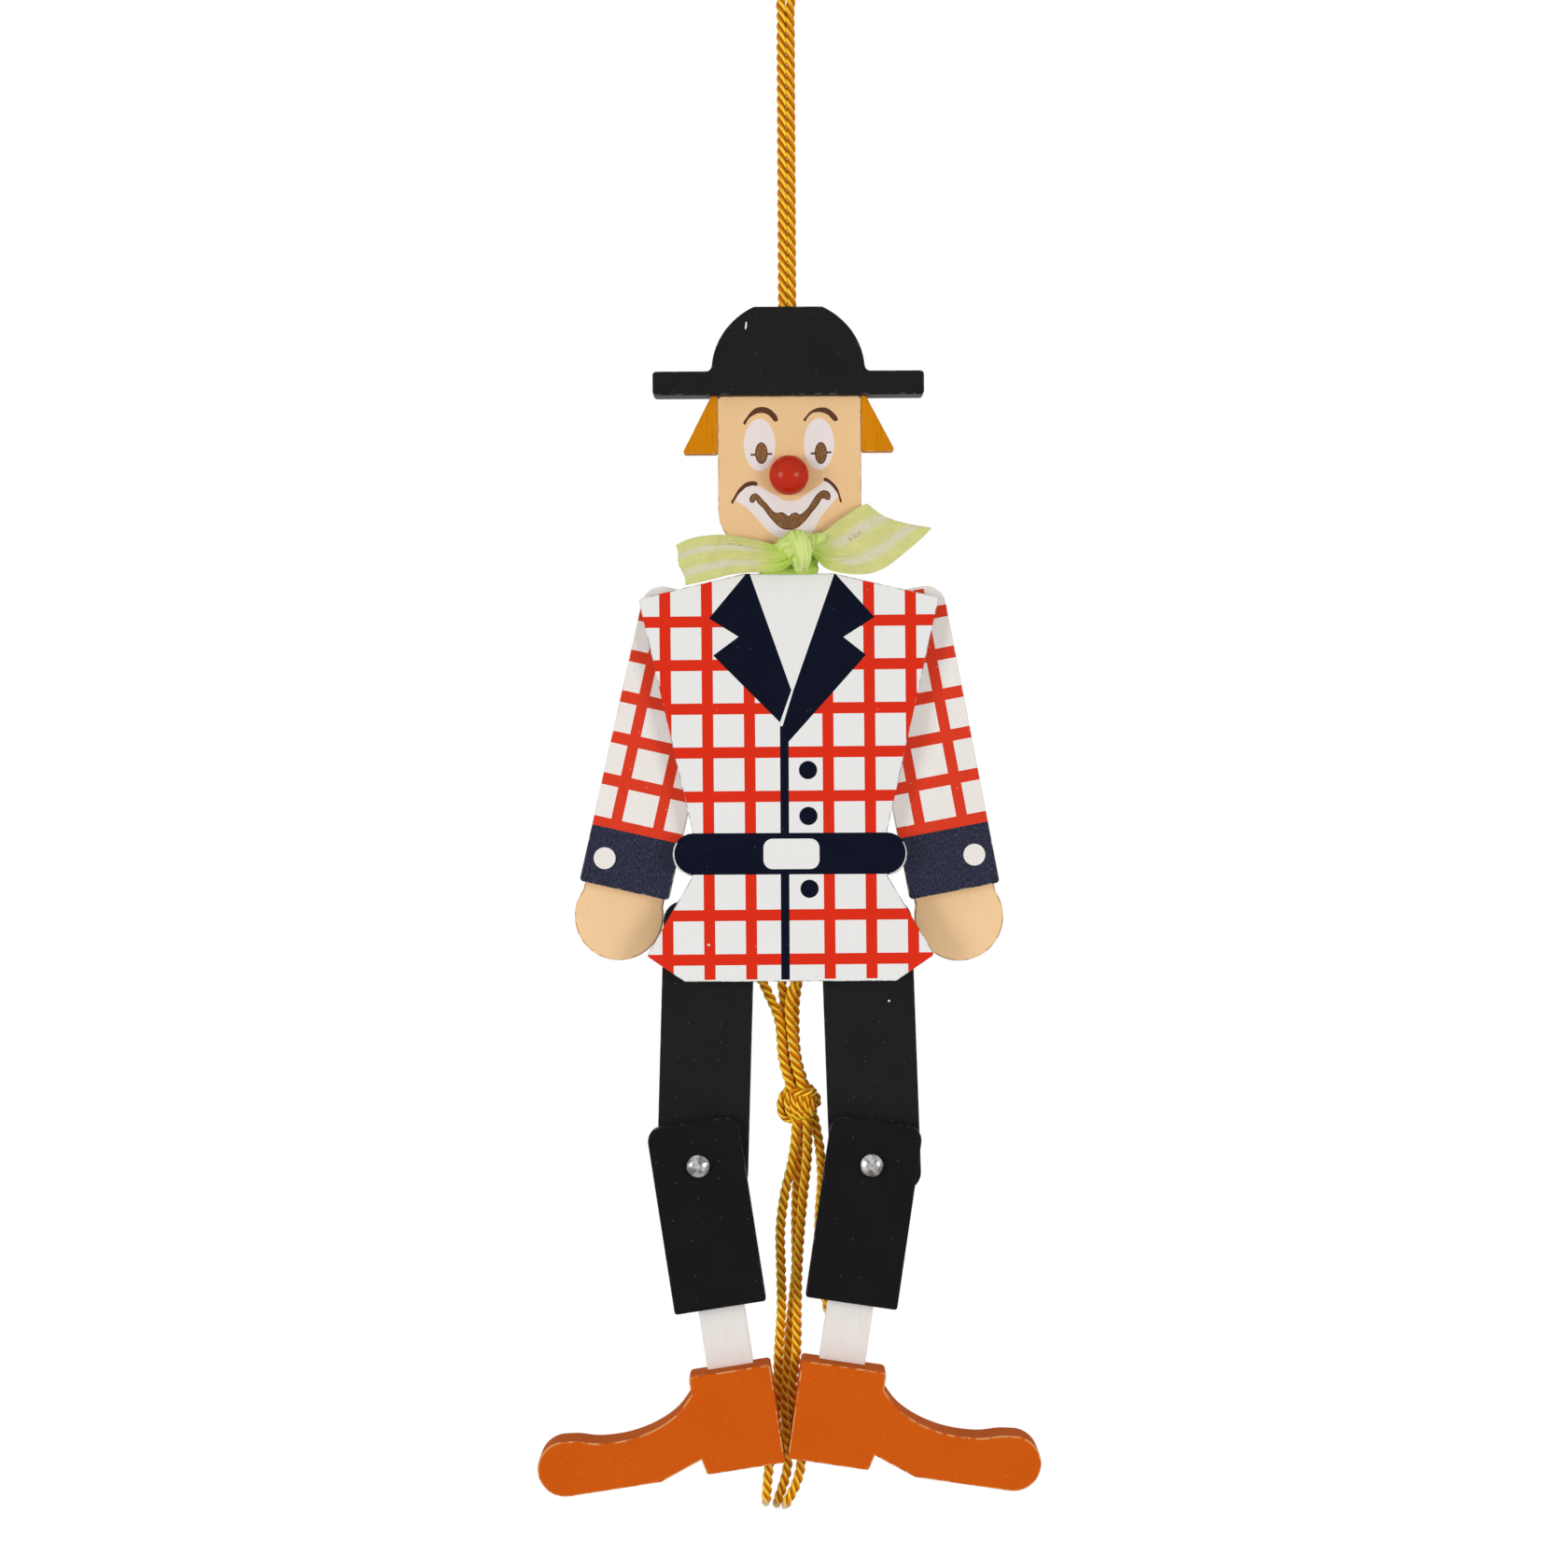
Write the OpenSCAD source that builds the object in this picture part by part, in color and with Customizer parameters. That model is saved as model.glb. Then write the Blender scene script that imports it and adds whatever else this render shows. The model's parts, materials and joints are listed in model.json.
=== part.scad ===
// Jumping jack: a flat wooden clown that hangs from a doubled cord. Pulling the knotted cords behind it
// swings both arms and both legs up at once, and the lower legs hang free at the knees.
// Sizes are in millimetres. +X is the viewer's right, +Y is away from the viewer and +Z is up.
// The origin is the inside top of the hanging loop. Y = 0 is the middle of the torso board's thickness.

/* [Boards] */
// Thickness of the torso, head and limb boards
board_t = 4; // [3.6:0.2:5]
// Thickness of the hat board
hat_t = 8; // [7.4:0.2:10]
// Thickness of the shoe blocks
shoe_t = 10; // [9:0.5:12]
// Air between the torso and the thighs behind it, and inside each knee
layer_gap = 0.3; // [0.2:0.05:0.4]
// Air between the torso and the sleeves, whose hands swing clear behind the thighs
arm_gap = 0.5; // [0.5:0.05:0.7]

/* [Hat] */
// From the inside top of the loop down to the crown's flat top
loop_drop = 102.4; // [90:0.2:130]
// Height of the crown above the brim
crown_h = 17.2; // [14:0.2:20]
// Height that the crown's oval would reach if its top were not cut flat
crown_rise = 19.2; // [17.4:0.1:24]
// Width of the crown where it meets the brim
crown_w = 41; // [34:0.5:56]
// Radius of the hollow curve between crown and brim
crown_fillet = 1.5; // [0.5:0.1:3]
// Height of the brim
brim_h = 6.4; // [5:0.2:9]
// Width of the brim
brim_w = 72.6; // [62:0.5:84]
// Radius of the brim's corners
brim_r = 1; // [0.4:0.1:2]
// How far right of the middle line the hat sits
hat_aside = 0.2; // [0:0.05:0.5]

/* [Head] */
// Width of the head
head_w = 38.4; // [32:0.2:44]
// Height of the head from brim to chin
head_h = 41; // [36:0.5:48]
// How far right of the middle line the head and its hair sit
head_aside = 0.45; // [0:0.05:0.6]
// Radius of the chin's corners
chin_r = 10.2; // [3:0.1:12]
// Radius of the head's top corners
brow_r = 1.2; // [0.4:0.1:2]
// Width of each hair block at its foot
hair_w = 9.2; // [6:0.2:10]
// Height of the right hair block
hair_h = 15; // [12:0.5:20]
// How much taller the left hair block is
hair_more = 0.5; // [0:0.1:1.5]
// Width of each hair block's top under the brim
hair_top_w = 1.3; // [1.2:0.1:3]
// Diameter of the nose bead
nose_d = 10.5; // [8:0.1:12]
// How far right of the middle line the nose sits
nose_aside = 0.25; // [0:0.05:0.5]
// Height of the nose's middle above the chin
nose_up = 19.6; // [16:0.2:23]
// How far the nose stands out of the face
nose_out = 6.6; // [5.5:0.1:7.5]
// Diameter of the nose's peg
nose_peg_d = 3; // [2:0.1:3.6]
// Length of the nose's peg
nose_peg = 2.6; // [2:0.1:3]

/* [Neck] */
// Gap between the chin and the torso's top edge
neck_gap = 6.6; // [5:0.1:9]
// Width of the strip that joins head and torso
neck_w = 14; // [10:0.5:17]
// Thickness of the neck strip
neck_t = 4; // [3:0.2:6]
// How far the neck strip is glued to the head, and how far to the torso
neck_lap = 17; // [12:0.5:20]

/* [Torso] */
// Width of the flat part of the neckline
neckline_w = 24; // [18:0.5:30]
// Width at the shoulder corners
shoulder_w = 80.5; // [76:0.5:88]
// Drop from the neckline to the shoulder corners
shoulder_drop = 6.6; // [4:0.2:9]
// Height from the belt to the neckline
chest_h = 69.5; // [64:0.5:76]
// Width just above the belt
waist_w = 52; // [48:0.5:58]
// Height of the belt
belt_h = 11.4; // [9:0.2:14]
// Width of the belt
belt_w = 62.8; // [59:0.2:68]
// Height of the tunic's flared hem below the belt
hem_h = 28.4; // [25:0.2:32]
// Width of the hem at its widest
hem_w = 77.2; // [72:0.2:82]
// Width of the hem's straight lower edge
hem_foot_w = 56.6; // [50:0.2:62]
// Height of the hem's widest corners above its lower edge
hem_corner_up = 7; // [5:0.2:9]

/* [Arms] */
// Distance between the two shoulder pivots
shoulder_span = 60.6; // [56:0.2:62]
// How far right of the middle line the two shoulder pivots sit, as a pair
shoulders_aside = 1.2; // [0:0.1:1.6]
// Shoulder pivots below the neckline
shoulder_down = 16.4; // [15:0.2:19]
// Width of a sleeve
sleeve_w = 24.6; // [22:0.2:26]
// Length of a sleeve, cuff and all
sleeve_l = 82.4; // [74:0.2:90]
// Pivot below the sleeve's top
sleeve_top = 12.1; // [11.4:0.1:13.4]
// Radius of the sleeve's top corners
sleeve_r = 5.5; // [4:0.1:7]
// Angle of the hanging left arm outward from the vertical
arm_hang_left = 12.9; // [9:0.2:15]
// Angle of the hanging right arm outward from the vertical
arm_hang_right = 10.6; // [9:0.2:15]
// Radius of the hand's disc
hand_r = 12; // [10:0.2:13]
// Middle of the hand's disc below the cuff
hand_out = 7.2; // [6:0.2:9]
// Width of the wrist
wrist_w = 22; // [18:0.2:22.8]
// How far the wrist is glued up behind the cuff
wrist_lap = 15; // [10:0.5:20]

/* [Legs] */
// Distance between the two hip pivots
hip_span = 42.8; // [42:0.2:46]
// How far left of the middle line the two hip pivots sit, as a pair
hips_aside = 0.7; // [0:0.1:1.4]
// Hip pivots above the hem's lower edge
hip_up = 9.1; // [7.5:0.1:11]
// Width of a thigh
thigh_w = 24.6; // [22.6:0.2:26]
// Pivot below the thigh's top
thigh_top = 12; // [11.4:0.1:13]
// From hip pivot to knee pivot
knee_drop = 58.3; // [54:0.1:64]
// How far the thigh runs on below the knee pivot
thigh_end = 8; // [7:0.1:9]
// Radius of the thigh's corners
thigh_r = 5; // [4:0.1:6.5]
// Angle of the hanging thigh outward from the vertical
thigh_lean = 1.8; // [0.5:0.1:2.2]
// How far left of the middle line the two knee pivots sit, as a pair
knees_aside = 1.8; // [0.4:0.1:2.2]
// Width of a calf
calf_w = 24.8; // [22:0.1:25.4]
// How far the calf runs up above the knee pivot
calf_top = 11.6; // [10:0.1:12.6]
// From the knee pivot down to the right calf's lower edge
calf_drop = 37.7; // [33:0.1:42]
// How much longer the left calf is
calf_more = 1; // [0:0.1:1.5]
// Radius of the calf's top corners
calf_r = 3.8; // [3:0.1:5.5]
// Angle of the hanging lower leg inward from the vertical
leg_lean = 8.6; // [8:0.1:9.2]
// Width of a sock
sock_w = 12.4; // [10:0.1:13.5]
// Thickness of a sock
sock_t = 3; // [2.6:0.1:3.4]
// From the knee pivot down to the sock's hidden upper end
sock_start = 14.4; // [14:0.1:18]
// Depth that the sock is let into the shoe
sock_tenon = 7.6; // [5:0.2:10]

/* [Shoes] */
// From the knee pivot down to the left shoe's top
shoe_drop = 55.3; // [51:0.1:60]
// How much higher the right shoe is glued to its sock
shoe_raise = 1.1; // [0:0.1:1.5]
// Middle of the shoe's thickness behind the middle of the calf's
shoe_set = 1.2; // [1:0.1:1.6]
// Height of the shoe from sole to ankle
shoe_h = 26.6; // [24:0.1:29]
// Outer side of the heel block, from the leg's middle line
ankle_w = 11.6; // [10.5:0.1:13]
// How far right both heel blocks' outer sides lie
ankles_aside = 0.35; // [0:0.05:0.5]
// Height of the ankle's straight outer side
ankle_h = 4.8; // [3.5:0.1:6]
// Middle of the left shoe's round toe, from the leg's middle line
toe_out = 47.6; // [41:0.1:52]
// How much longer the right shoe's toe is
toe_more = 1.4; // [0:0.1:2]
// Radius of the round toe
toe_r = 7.4; // [6.6:0.1:8]
// Height of the notch in the sole in front of the heel
arch_h = 4.2; // [3:0.1:6]
// Length of the notch in the sole
arch_l = 11.6; // [8:0.1:15]
// Air between the two heels as they hang
heel_gap = 0.6; // [0.4:0.1:1.2]

/* [Pivots] */
// Diameter of the shoulder and hip screws and of the knee rivets
pin_d = 3; // [2.6:0.1:3.4]
// Radial clearance of a limb on its pin
pin_run = 0.06; // [0.04:0.01:0.1]
// How deep the screws go into the torso's back
screw_bite = 3; // [2.4:0.1:3.2]
// Diameter of the screw heads
screw_head_d = 6; // [5.2:0.1:6.6]
// Height of the screw heads
screw_head_h = 1.7; // [1.4:0.1:2]
// Diameter of the washers under the screws
washer_d = 8; // [7.2:0.1:8.6]
// Thickness of the washers
washer_t = 0.6; // [0.4:0.1:0.8]
// Diameter of the rivet heads at the knees
rivet_d = 6.4; // [5.6:0.1:7.2]
// Height of the rivet heads
rivet_h = 2; // [1.6:0.1:2.4]
// Air between a moving board and the washer or rivet head that holds it
head_air = 0.1; // [0.06:0.01:0.2]
// Diameter of the two pins between head and hat
hat_pin_d = 1.2; // [1:0.1:1.6]
// Length of those pins, half in each piece
hat_pin_l = 11; // [8:0.5:12]
// Distance between those pins
hat_pin_span = 24; // [18:0.5:30]

/* [Cords] */
// Diameter of the hanging cord
hang_d = 2.6; // [2.2:0.1:2.8]
// Distance between the hanging cord's two strands
hang_span = 3; // [2.8:0.1:3.2]
// Depth of the hanging cord's hole in the hat
hang_bore = 10; // [8:0.2:12]
// Diameter of the pull cords
cord_d = 2.8; // [2.4:0.1:2.9]
// Diameter of the cord hole in each limb
cord_hole_d = 3; // [2.6:0.1:3.2]
// Distance from an arm's pivot to its cord hole
arm_crank = 8.2; // [7.8:0.1:8.6]
// Angle that the arms swing through
arm_swing = 99.2; // [94:0.2:104]
// Angle that the thighs swing through
leg_swing = 70; // [67:0.5:75]
// Radius of the cord knots behind the limbs
stop_r = 2.2; // [1.9:0.1:2.4]
// Width of the pull knot
knot_w = 11.7; // [11:0.1:12.4]
// Height of the pull knot
knot_h = 11.4; // [9:0.1:11.8]

/* [Ribbon] */
// Thickness of the ribbon's folds
ribbon_t = 0.7; // [0.5:0.05:0.9]
// Thickness of the band round the neck
band_t = 1.2; // [0.8:0.1:1.6]
// Air between the ribbon and what it lies on
ribbon_air = 0.3; // [0.2:0.05:0.4]
// Depth of the ribbon's folds, from crest to hollow
fold_depth = 1.1; // [0.6:0.1:1.4]
// Width of the ribbon's knot
bow_w = 12.6; // [10:0.2:12.8]
// Height of the ribbon's knot
bow_h = 11; // [9:0.2:12]
// Thickness of the ribbon's knot
bow_t = 5.6; // [4:0.2:6.4]

/* [Hidden] */

$fn = 64;
left = -1;
right = 1;
// Air in glued and pressed fits
fit_air = 0.02;
// How far a cutting solid runs past the face that it cuts
past = 1;

// Heights
crown_top = -loop_drop;
brim_top = crown_top - crown_h;
brim_foot = brim_top - brim_h;
chin = brim_foot - head_h;
nose_z = chin + nose_up;
neckline = chin - neck_gap;
belt_top = neckline - chest_h;
belt_foot = belt_top - belt_h;
hem_foot = belt_foot - hem_h;

// Depths, from the torso's front face to the cords behind the limbs
face = -board_t / 2;
back = board_t / 2;
arm_front = back + arm_gap;
arm_back = arm_front + board_t;
thigh_front = back + layer_gap;
thigh_back = thigh_front + board_t;
calf_back = thigh_front - layer_gap;
calf_front = calf_back - board_t;
shoe_front = calf_back - board_t / 2 + shoe_set - shoe_t / 2;
neck_back = back + neck_t;

// Pivots
shoulder_z = neckline - shoulder_down;
hip_z = hem_foot + hip_up;
knee_half = hip_span / 2 + knee_drop * sin(thigh_lean);
knee_z = hip_z - knee_drop * cos(thigh_lean);
function shoulder_x(side) = side * shoulder_span / 2 + shoulders_aside;
function hip_x(side) = side * hip_span / 2 - hips_aside;
function knee_x(side) = side * knee_half - knees_aside;
function arm_hang(side) = side == left ? arm_hang_left : arm_hang_right;

// The limbs' holes all drop by the pull's travel, so each crank follows from its swing.
pull_travel = 2 * arm_crank * sin(arm_swing / 2);
leg_crank = pull_travel / (2 * sin(leg_swing / 2));

// The heel's inner side stops the lower legs where the two heels meet.
function shoe_top(side) = side == right ? shoe_raise - shoe_drop : -shoe_drop;
function heel_in(side) =
    (knee_half + (shoe_top(side) - shoe_h) * sin(leg_lean) - heel_gap / 2) / cos(leg_lean);

// Routes of the cords, as points chosen by hand
HANG_ROUTE = [
    [-1.5, 0, -112], [-1.5, 0, -98], [-1.5, 0, -84], [-1.5, 0, -70], [-1.5, 0, -56], [-1.5, 0, -42],
    [-1.5, 0, -30], [-1.5, 0, -22], [-1.6, 0, -17.5], [-2.5, 0, -13.5], [-4, 0, -10.7], [-5.5, 0, -8],
    [-6.3, 0, -4.8], [-5.5, 0, -1.7], [-3.2, 0, 0.6], [0, 0, 1.3], [3.2, 0, 0.6], [5.5, 0, -1.7],
    [6.3, 0, -4.8], [5.5, 0, -8], [4, 0, -10.7], [2.5, 0, -13.5], [1.6, 0, -17.5], [1.5, 0, -22],
    [1.5, 0, -30], [1.5, 0, -42], [1.5, 0, -56], [1.5, 0, -70], [1.5, 0, -84], [1.5, 0, -98], [1.5, 0, -112]
];
ARM_LEFT_ROUTE = [
    [-23.8, 8.5, -186.7], [-20.9, 8.8, -200], [-17.5, 9.3, -215], [-14.1, 9.8, -230], [-10.8, 10.3, -245],
    [-7.5, 10.7, -260], [-4.3, 10.9, -274], [-2.4, 11, -284], [-1.8, 11.1, -290], [-1.9, 11.2, -296],
    [-1.8, 11.2, -302], [-1, 11.1, -307], [0.2, 11, -310.9]
];
ARM_RIGHT_ROUTE = [
    [26.2, 8.5, -186.7], [22.9, 8.8, -200], [19, 9.4, -215], [15.2, 10, -230], [11.5, 10.6, -245],
    [7.8, 11.1, -260], [4.4, 11.4, -274], [2, 11.5, -284], [1.2, 11.5, -290], [1.1, 11.4, -296],
    [1.3, 11.3, -302], [2.1, 11.1, -307], [3.3, 11, -310.9]
];
LEG_LEFT_ROUTE = [
    [-13.2, 8.3, -270.2], [-12.9, 8.4, -273], [-11.2, 8.4, -277], [-8.8, 8.4, -281],
    [-6.7, 8.4, -284.5], [-5.2, 8.4, -287.8], [-3.7, 8.4, -291], [-2.6, 8.3, -295], [-2.3, 8.2, -299.5],
    [-2, 8.1, -303.5], [-1.4, 8, -307.3], [-0.4, 8, -310.9]
];
LEG_RIGHT_ROUTE = [
    [11.8, 8.3, -270.2], [11.5, 8.4, -272.6], [9.2, 8.4, -275.8], [5.6, 8.4, -279], [2.6, 8.4, -282.6],
    [0.9, 8.4, -286.4], [0.2, 8.4, -290.6], [0.4, 8.3, -295], [0.8, 8.2, -299.5], [1.2, 8.1, -303.5],
    [1.8, 8, -307.3], [2.7, 8, -310.9]
];
TAIL_1_ROUTE = [
    [1.1, 8, -322.9], [-0.1, 8.2, -332], [-2.1, 8.4, -341], [-3.1, 8.4, -351], [-3, 8.4, -362],
    [-2.7, 8.4, -372], [-3.4, 8.4, -384], [-4.5, 8.4, -396], [-5.8, 8.4, -408], [-7, 8.4, -417],
    [-7.3, 8.4, -425]
];
TAIL_2_ROUTE = [
    [2.1, 11.1, -322.9], [2, 11.2, -332], [1.3, 11.3, -342], [1.1, 11.3, -352], [1.1, 11.3, -362],
    [0.3, 11.3, -371], [-0.6, 11.3, -380], [-0.7, 11.2, -390], [-0.6, 11.2, -400], [-1.1, 11.2, -412],
    [-4, 11.2, -426]
];
TAIL_3_ROUTE = [
    [4.4, 8, -322.9], [4.2, 8.1, -332], [3.1, 8.3, -342], [2.1, 8.4, -353], [1.5, 8.4, -363],
    [1.1, 8.4, -372], [1.4, 8.4, -386], [2.2, 8.4, -397], [2.9, 8.4, -409], [1.2, 8.4, -419],
    [-1.4, 8.4, -426]
];
TAIL_4_ROUTE = [
    [6.6, 10.2, -322.9], [7.8, 9.5, -330], [8.2, 9, -337], [7.5, 8.8, -347], [7.5, 8.8, -358],
    [8.8, 8.8, -367], [9.8, 8.8, -374]
];

// Middle of the pull knot, which lies against the ends of the cords
KNOT_AT = [2.3, 9.7, -316.9];
cord_sides = 8;
// Steps of each rounded corner of an outline
arc_steps = 6;

// Edges of the ribbon's tails, from the knot outward
TAIL_LEFT_UPPER = [
    [-4, -4.4, -165.8], [-10, -4.2, -164.3], [-17, -3.6, -163.6], [-24.8, -2.9, -164.1],
    [-29.9, -2.8, -166.5]
];
TAIL_LEFT_LOWER = [
    [-3.4, -4.4, -171.8], [-8, -4, -173], [-13, -3.6, -174], [-20.4, -2.9, -175.2], [-26.8, -2.8, -176.8]
];
TAIL_RIGHT_UPPER = [
    [9.4, -4.4, -164], [13.2, -4.2, -160.4], [17.4, -3.6, -157.4], [21.8, -3, -155.6], [25.6, -2.9, -157.9],
    [30, -2.8, -160], [38.6, -2.8, -161.7]
];
TAIL_RIGHT_LOWER = [
    [9.4, -4.4, -171], [13.2, -4, -173.6], [18.6, -3.6, -174.3], [25, -3, -173], [32.4, -2.8, -167.5],
    [38.4, -2.8, -162.3]
];
// Middle of the ribbon's knot, and the cells of each tail's mesh
BOW_AT = [2.7, -7, -167.3];
tail_cells = 16;
fold_cells = 12;

// Paint and material colours
PAINT_RED = [0.80, 0.12, 0.07];
PAINT_CREAM = [0.88, 0.86, 0.82];
PAINT_SKIN = [0.87, 0.70, 0.48];
PAINT_BLACK = [0.08, 0.08, 0.08];
PAINT_HAIR = [0.80, 0.45, 0.05];
PAINT_SHOE = [0.75, 0.30, 0.06];
STEEL = [0.72, 0.72, 0.74];
CORD_GOLD = [0.85, 0.60, 0.08];
RIBBON_GREEN = [0.78, 0.86, 0.45];

function unit(v) = v / norm(v);

// Points of the arc of radius r that rounds the corner b between its neighbours a and c
function corner_arc(a, b, c, r) =
    r <= 0 ? [b] :
    let (
        u = unit(a - b),
        v = unit(c - b),
        half = acos(u * v) / 2,
        middle = b + unit(u + v) * r / sin(half),
        from = b + u * r / tan(half) - middle,
        to = b + v * r / tan(half) - middle,
        sweep = 180 - 2 * half
    )
    [
        for (k = [0:arc_steps])
            let (t = k / arc_steps)
            middle + (from * sin(sweep * (1 - t)) + to * sin(sweep * t)) / sin(sweep)
    ];

// An outline whose corners are rounded, each by its own radius
function rounded(points, radii) =
    let (n = len(points))
    [
        for (i = [0:n - 1])
            each corner_arc(points[(i + n - 1) % n], points[i], points[(i + 1) % n], radii[i])
    ];

// A smooth curve through the points, with n steps from each point to the next
function through(points, n) =
    let (last = len(points) - 1)
    [
        for (i = [0:last - 1], k = [0:n - 1])
            let (
                a = points[max(i - 1, 0)],
                b = points[i],
                c = points[i + 1],
                d = points[min(i + 2, last)],
                t = k / n,
                bend = 2 * a - 5 * b + 4 * c - d,
                turn = 3 * b - a - 3 * c + d
            )
            0.5 * (2 * b + (c - a) * t + bend * t ^ 2 + turn * t ^ 3),
        points[last]
    ];

// Direction of a curve at its point i
function heading(points, i) = unit(points[min(i + 1, len(points) - 1)] - points[max(i - 1, 0)]);

// The point at share t of a curve given by points
function along(points, t) =
    let (
        s = t * (len(points) - 1),
        i = min(floor(s), len(points) - 2)
    )
    points[i] + (points[i + 1] - points[i]) * (s - i);

// A board with the given outline in X and Z, from depth y to y + t
module board(y, t) {
    rotate([90, 0, 0])
        translate([0, 0, -y - t])
            linear_extrude(t)
                children();
}

// A round solid of diameter d along Y, from depth y0 to y1
module rod(x, z, y0, y1, d) {
    translate([x, y0, z])
        rotate([-90, 0, 0])
            cylinder(d = d, h = y1 - y0);
}

// A low dome of diameter d and height h on the plane y, standing out towards dir
module dome(x, z, y, d, h, dir) {
    ball_r = (d * d / 4 + h * h) / (2 * h);
    translate([x, y, z])
        rotate([-90 * dir, 0, 0])
            intersection() {
                translate([0, 0, h - ball_r])
                    sphere(r = ball_r);
                cylinder(d = d + past, h = h + past);
            }
}

// Right-hand pieces are drawn as they are, and left-hand ones are mirrored.
module on_side(side) {
    if (side == left)
        mirror([1, 0, 0])
            children();
    else
        children();
}

module at_shoulder(side) {
    on_side(side)
        translate([side * shoulder_x(side), 0, shoulder_z])
            rotate([0, -arm_hang(side), 0])
                children();
}

module at_hip(side) {
    on_side(side)
        translate([side * hip_x(side), 0, hip_z])
            rotate([0, -thigh_lean, 0])
                children();
}

module at_knee(side) {
    on_side(side)
        translate([side * knee_x(side), 0, knee_z])
            rotate([0, leg_lean, 0])
                children();
}

// A plate outline from x0 to x1 and z0 to z1, its lower and upper corners rounded
module plate(x0, x1, z0, z1, lower_r, upper_r) {
    polygon(rounded([[x0, z0], [x1, z0], [x1, z1], [x0, z1]], [lower_r, lower_r, upper_r, upper_r]));
}

// A flexible cord's tube along its route, with one ring of points at each point of the route
module cord_tube(route, d) {
    n = len(route);
    rings = [
        for (i = [0:n - 1])
            let (
                out = unit(cross(heading(route, i), [0, 1, 0])),
                up = cross(heading(route, i), out)
            )
            for (k = [0:cord_sides - 1])
                route[i] + (out * cos(360 * k / cord_sides) + up * sin(360 * k / cord_sides)) * d / 2
    ];
    walls = [
        for (i = [0:n - 2], k = [0:cord_sides - 1])
            let (
                a = i * cord_sides + k,
                b = i * cord_sides + (k + 1) % cord_sides
            )
            each [[a, b, b + cord_sides], [a, b + cord_sides, a + cord_sides]]
    ];
    first_end = [for (k = [1:cord_sides - 2]) [0, k + 1, k]];
    last_ring = (n - 1) * cord_sides;
    last_end = [for (k = [1:cord_sides - 2]) [last_ring, last_ring + k, last_ring + k + 1]];
    polyhedron(rings, concat(first_end, walls, last_end));
}

// A ribbon's tail between its two edges: folds run along it and deepen away from the knot
module ribbon_sheet(upper, lower, folds) {
    across = fold_cells + 1;
    one_side = (tail_cells + 1) * across;
    points = [
        for (side = [-1, 1], i = [0:tail_cells], j = [0:fold_cells])
            let (
                t = i / tail_cells,
                s = j / fold_cells,
                edge_a = along(upper, t),
                edge_b = along(lower, t),
                wave = fold_depth / 2 * (0.5 + 0.5 * t) * (cos(360 * folds * s) - 1)
            )
            edge_a + (edge_b - edge_a) * s + [0, wave + side * ribbon_t / 2, 0]
    ];
    front = [
        for (i = [0:tail_cells - 1], j = [0:fold_cells - 1])
            let (a = i * across + j)
            each [[a, a + across, a + across + 1], [a, a + across + 1, a + 1]]
    ];
    rear = [for (f = front) [f[0] + one_side, f[2] + one_side, f[1] + one_side]];
    rim = concat(
        [for (i = [0:tail_cells]) i * across],
        [for (j = [1:fold_cells]) tail_cells * across + j],
        [for (i = [tail_cells - 1:-1:0]) i * across + fold_cells],
        [for (j = [fold_cells - 1:-1:1]) j]
    );
    edges = [
        for (k = [0:len(rim) - 1])
            let (
                a = rim[k],
                b = rim[(k + 1) % len(rim)]
            )
            each [[a, a + one_side, b + one_side], [a, b + one_side, b]]
    ];
    polyhedron(points, concat(front, rear, edges));
}

module torso_outline() {
    polygon(rounded(
        [
            [-neckline_w / 2, neckline], [-shoulder_w / 2, neckline - shoulder_drop],
            [-waist_w / 2, belt_top], [-waist_w / 2, belt_foot],
            [-hem_w / 2, hem_foot + hem_corner_up], [-hem_foot_w / 2, hem_foot],
            [hem_foot_w / 2, hem_foot], [hem_w / 2, hem_foot + hem_corner_up],
            [waist_w / 2, belt_foot], [waist_w / 2, belt_top],
            [shoulder_w / 2, neckline - shoulder_drop], [neckline_w / 2, neckline]
        ],
        [2, 1, 0.4, 0.4, 1, 1, 1, 1, 0.4, 0.4, 1, 2]
    ));
    plate(-belt_w / 2, belt_w / 2, belt_foot, belt_top, belt_h / 2 - 0.2, belt_h / 2 - 0.2);
}

module torso_board() {
    color(PAINT_CREAM)
        difference() {
            board(face, board_t)
                torso_outline();
            for (side = [left, right], at = [[shoulder_x(side), shoulder_z], [hip_x(side), hip_z]])
                rod(at[0], at[1], back - screw_bite, back + past, pin_d + 2 * fit_air);
        }
}

module neck_strip() {
    color(PAINT_BLACK)
        board(back, neck_t)
            plate(-neck_w / 2, neck_w / 2, neckline - neck_lap, chin + neck_lap, 1, 1);
}

// The two pins that stand in the head's top edge and the brim's underside
module hat_pin_rods(air) {
    for (side = [left, right])
        translate([side * hat_pin_span / 2, 0, brim_foot - hat_pin_l / 2 - air])
            cylinder(d = hat_pin_d + 2 * air, h = hat_pin_l + 2 * air);
}

module head_block() {
    color(PAINT_SKIN)
        difference() {
            board(face, board_t)
                plate(
                    head_aside - head_w / 2, head_aside + head_w / 2,
                    chin, brim_foot, chin_r, brow_r
                );
            hat_pin_rods(fit_air);
            rod(nose_aside, nose_z, face - past, face + nose_peg + fit_air, nose_peg_d + 2 * fit_air);
        }
}

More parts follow.
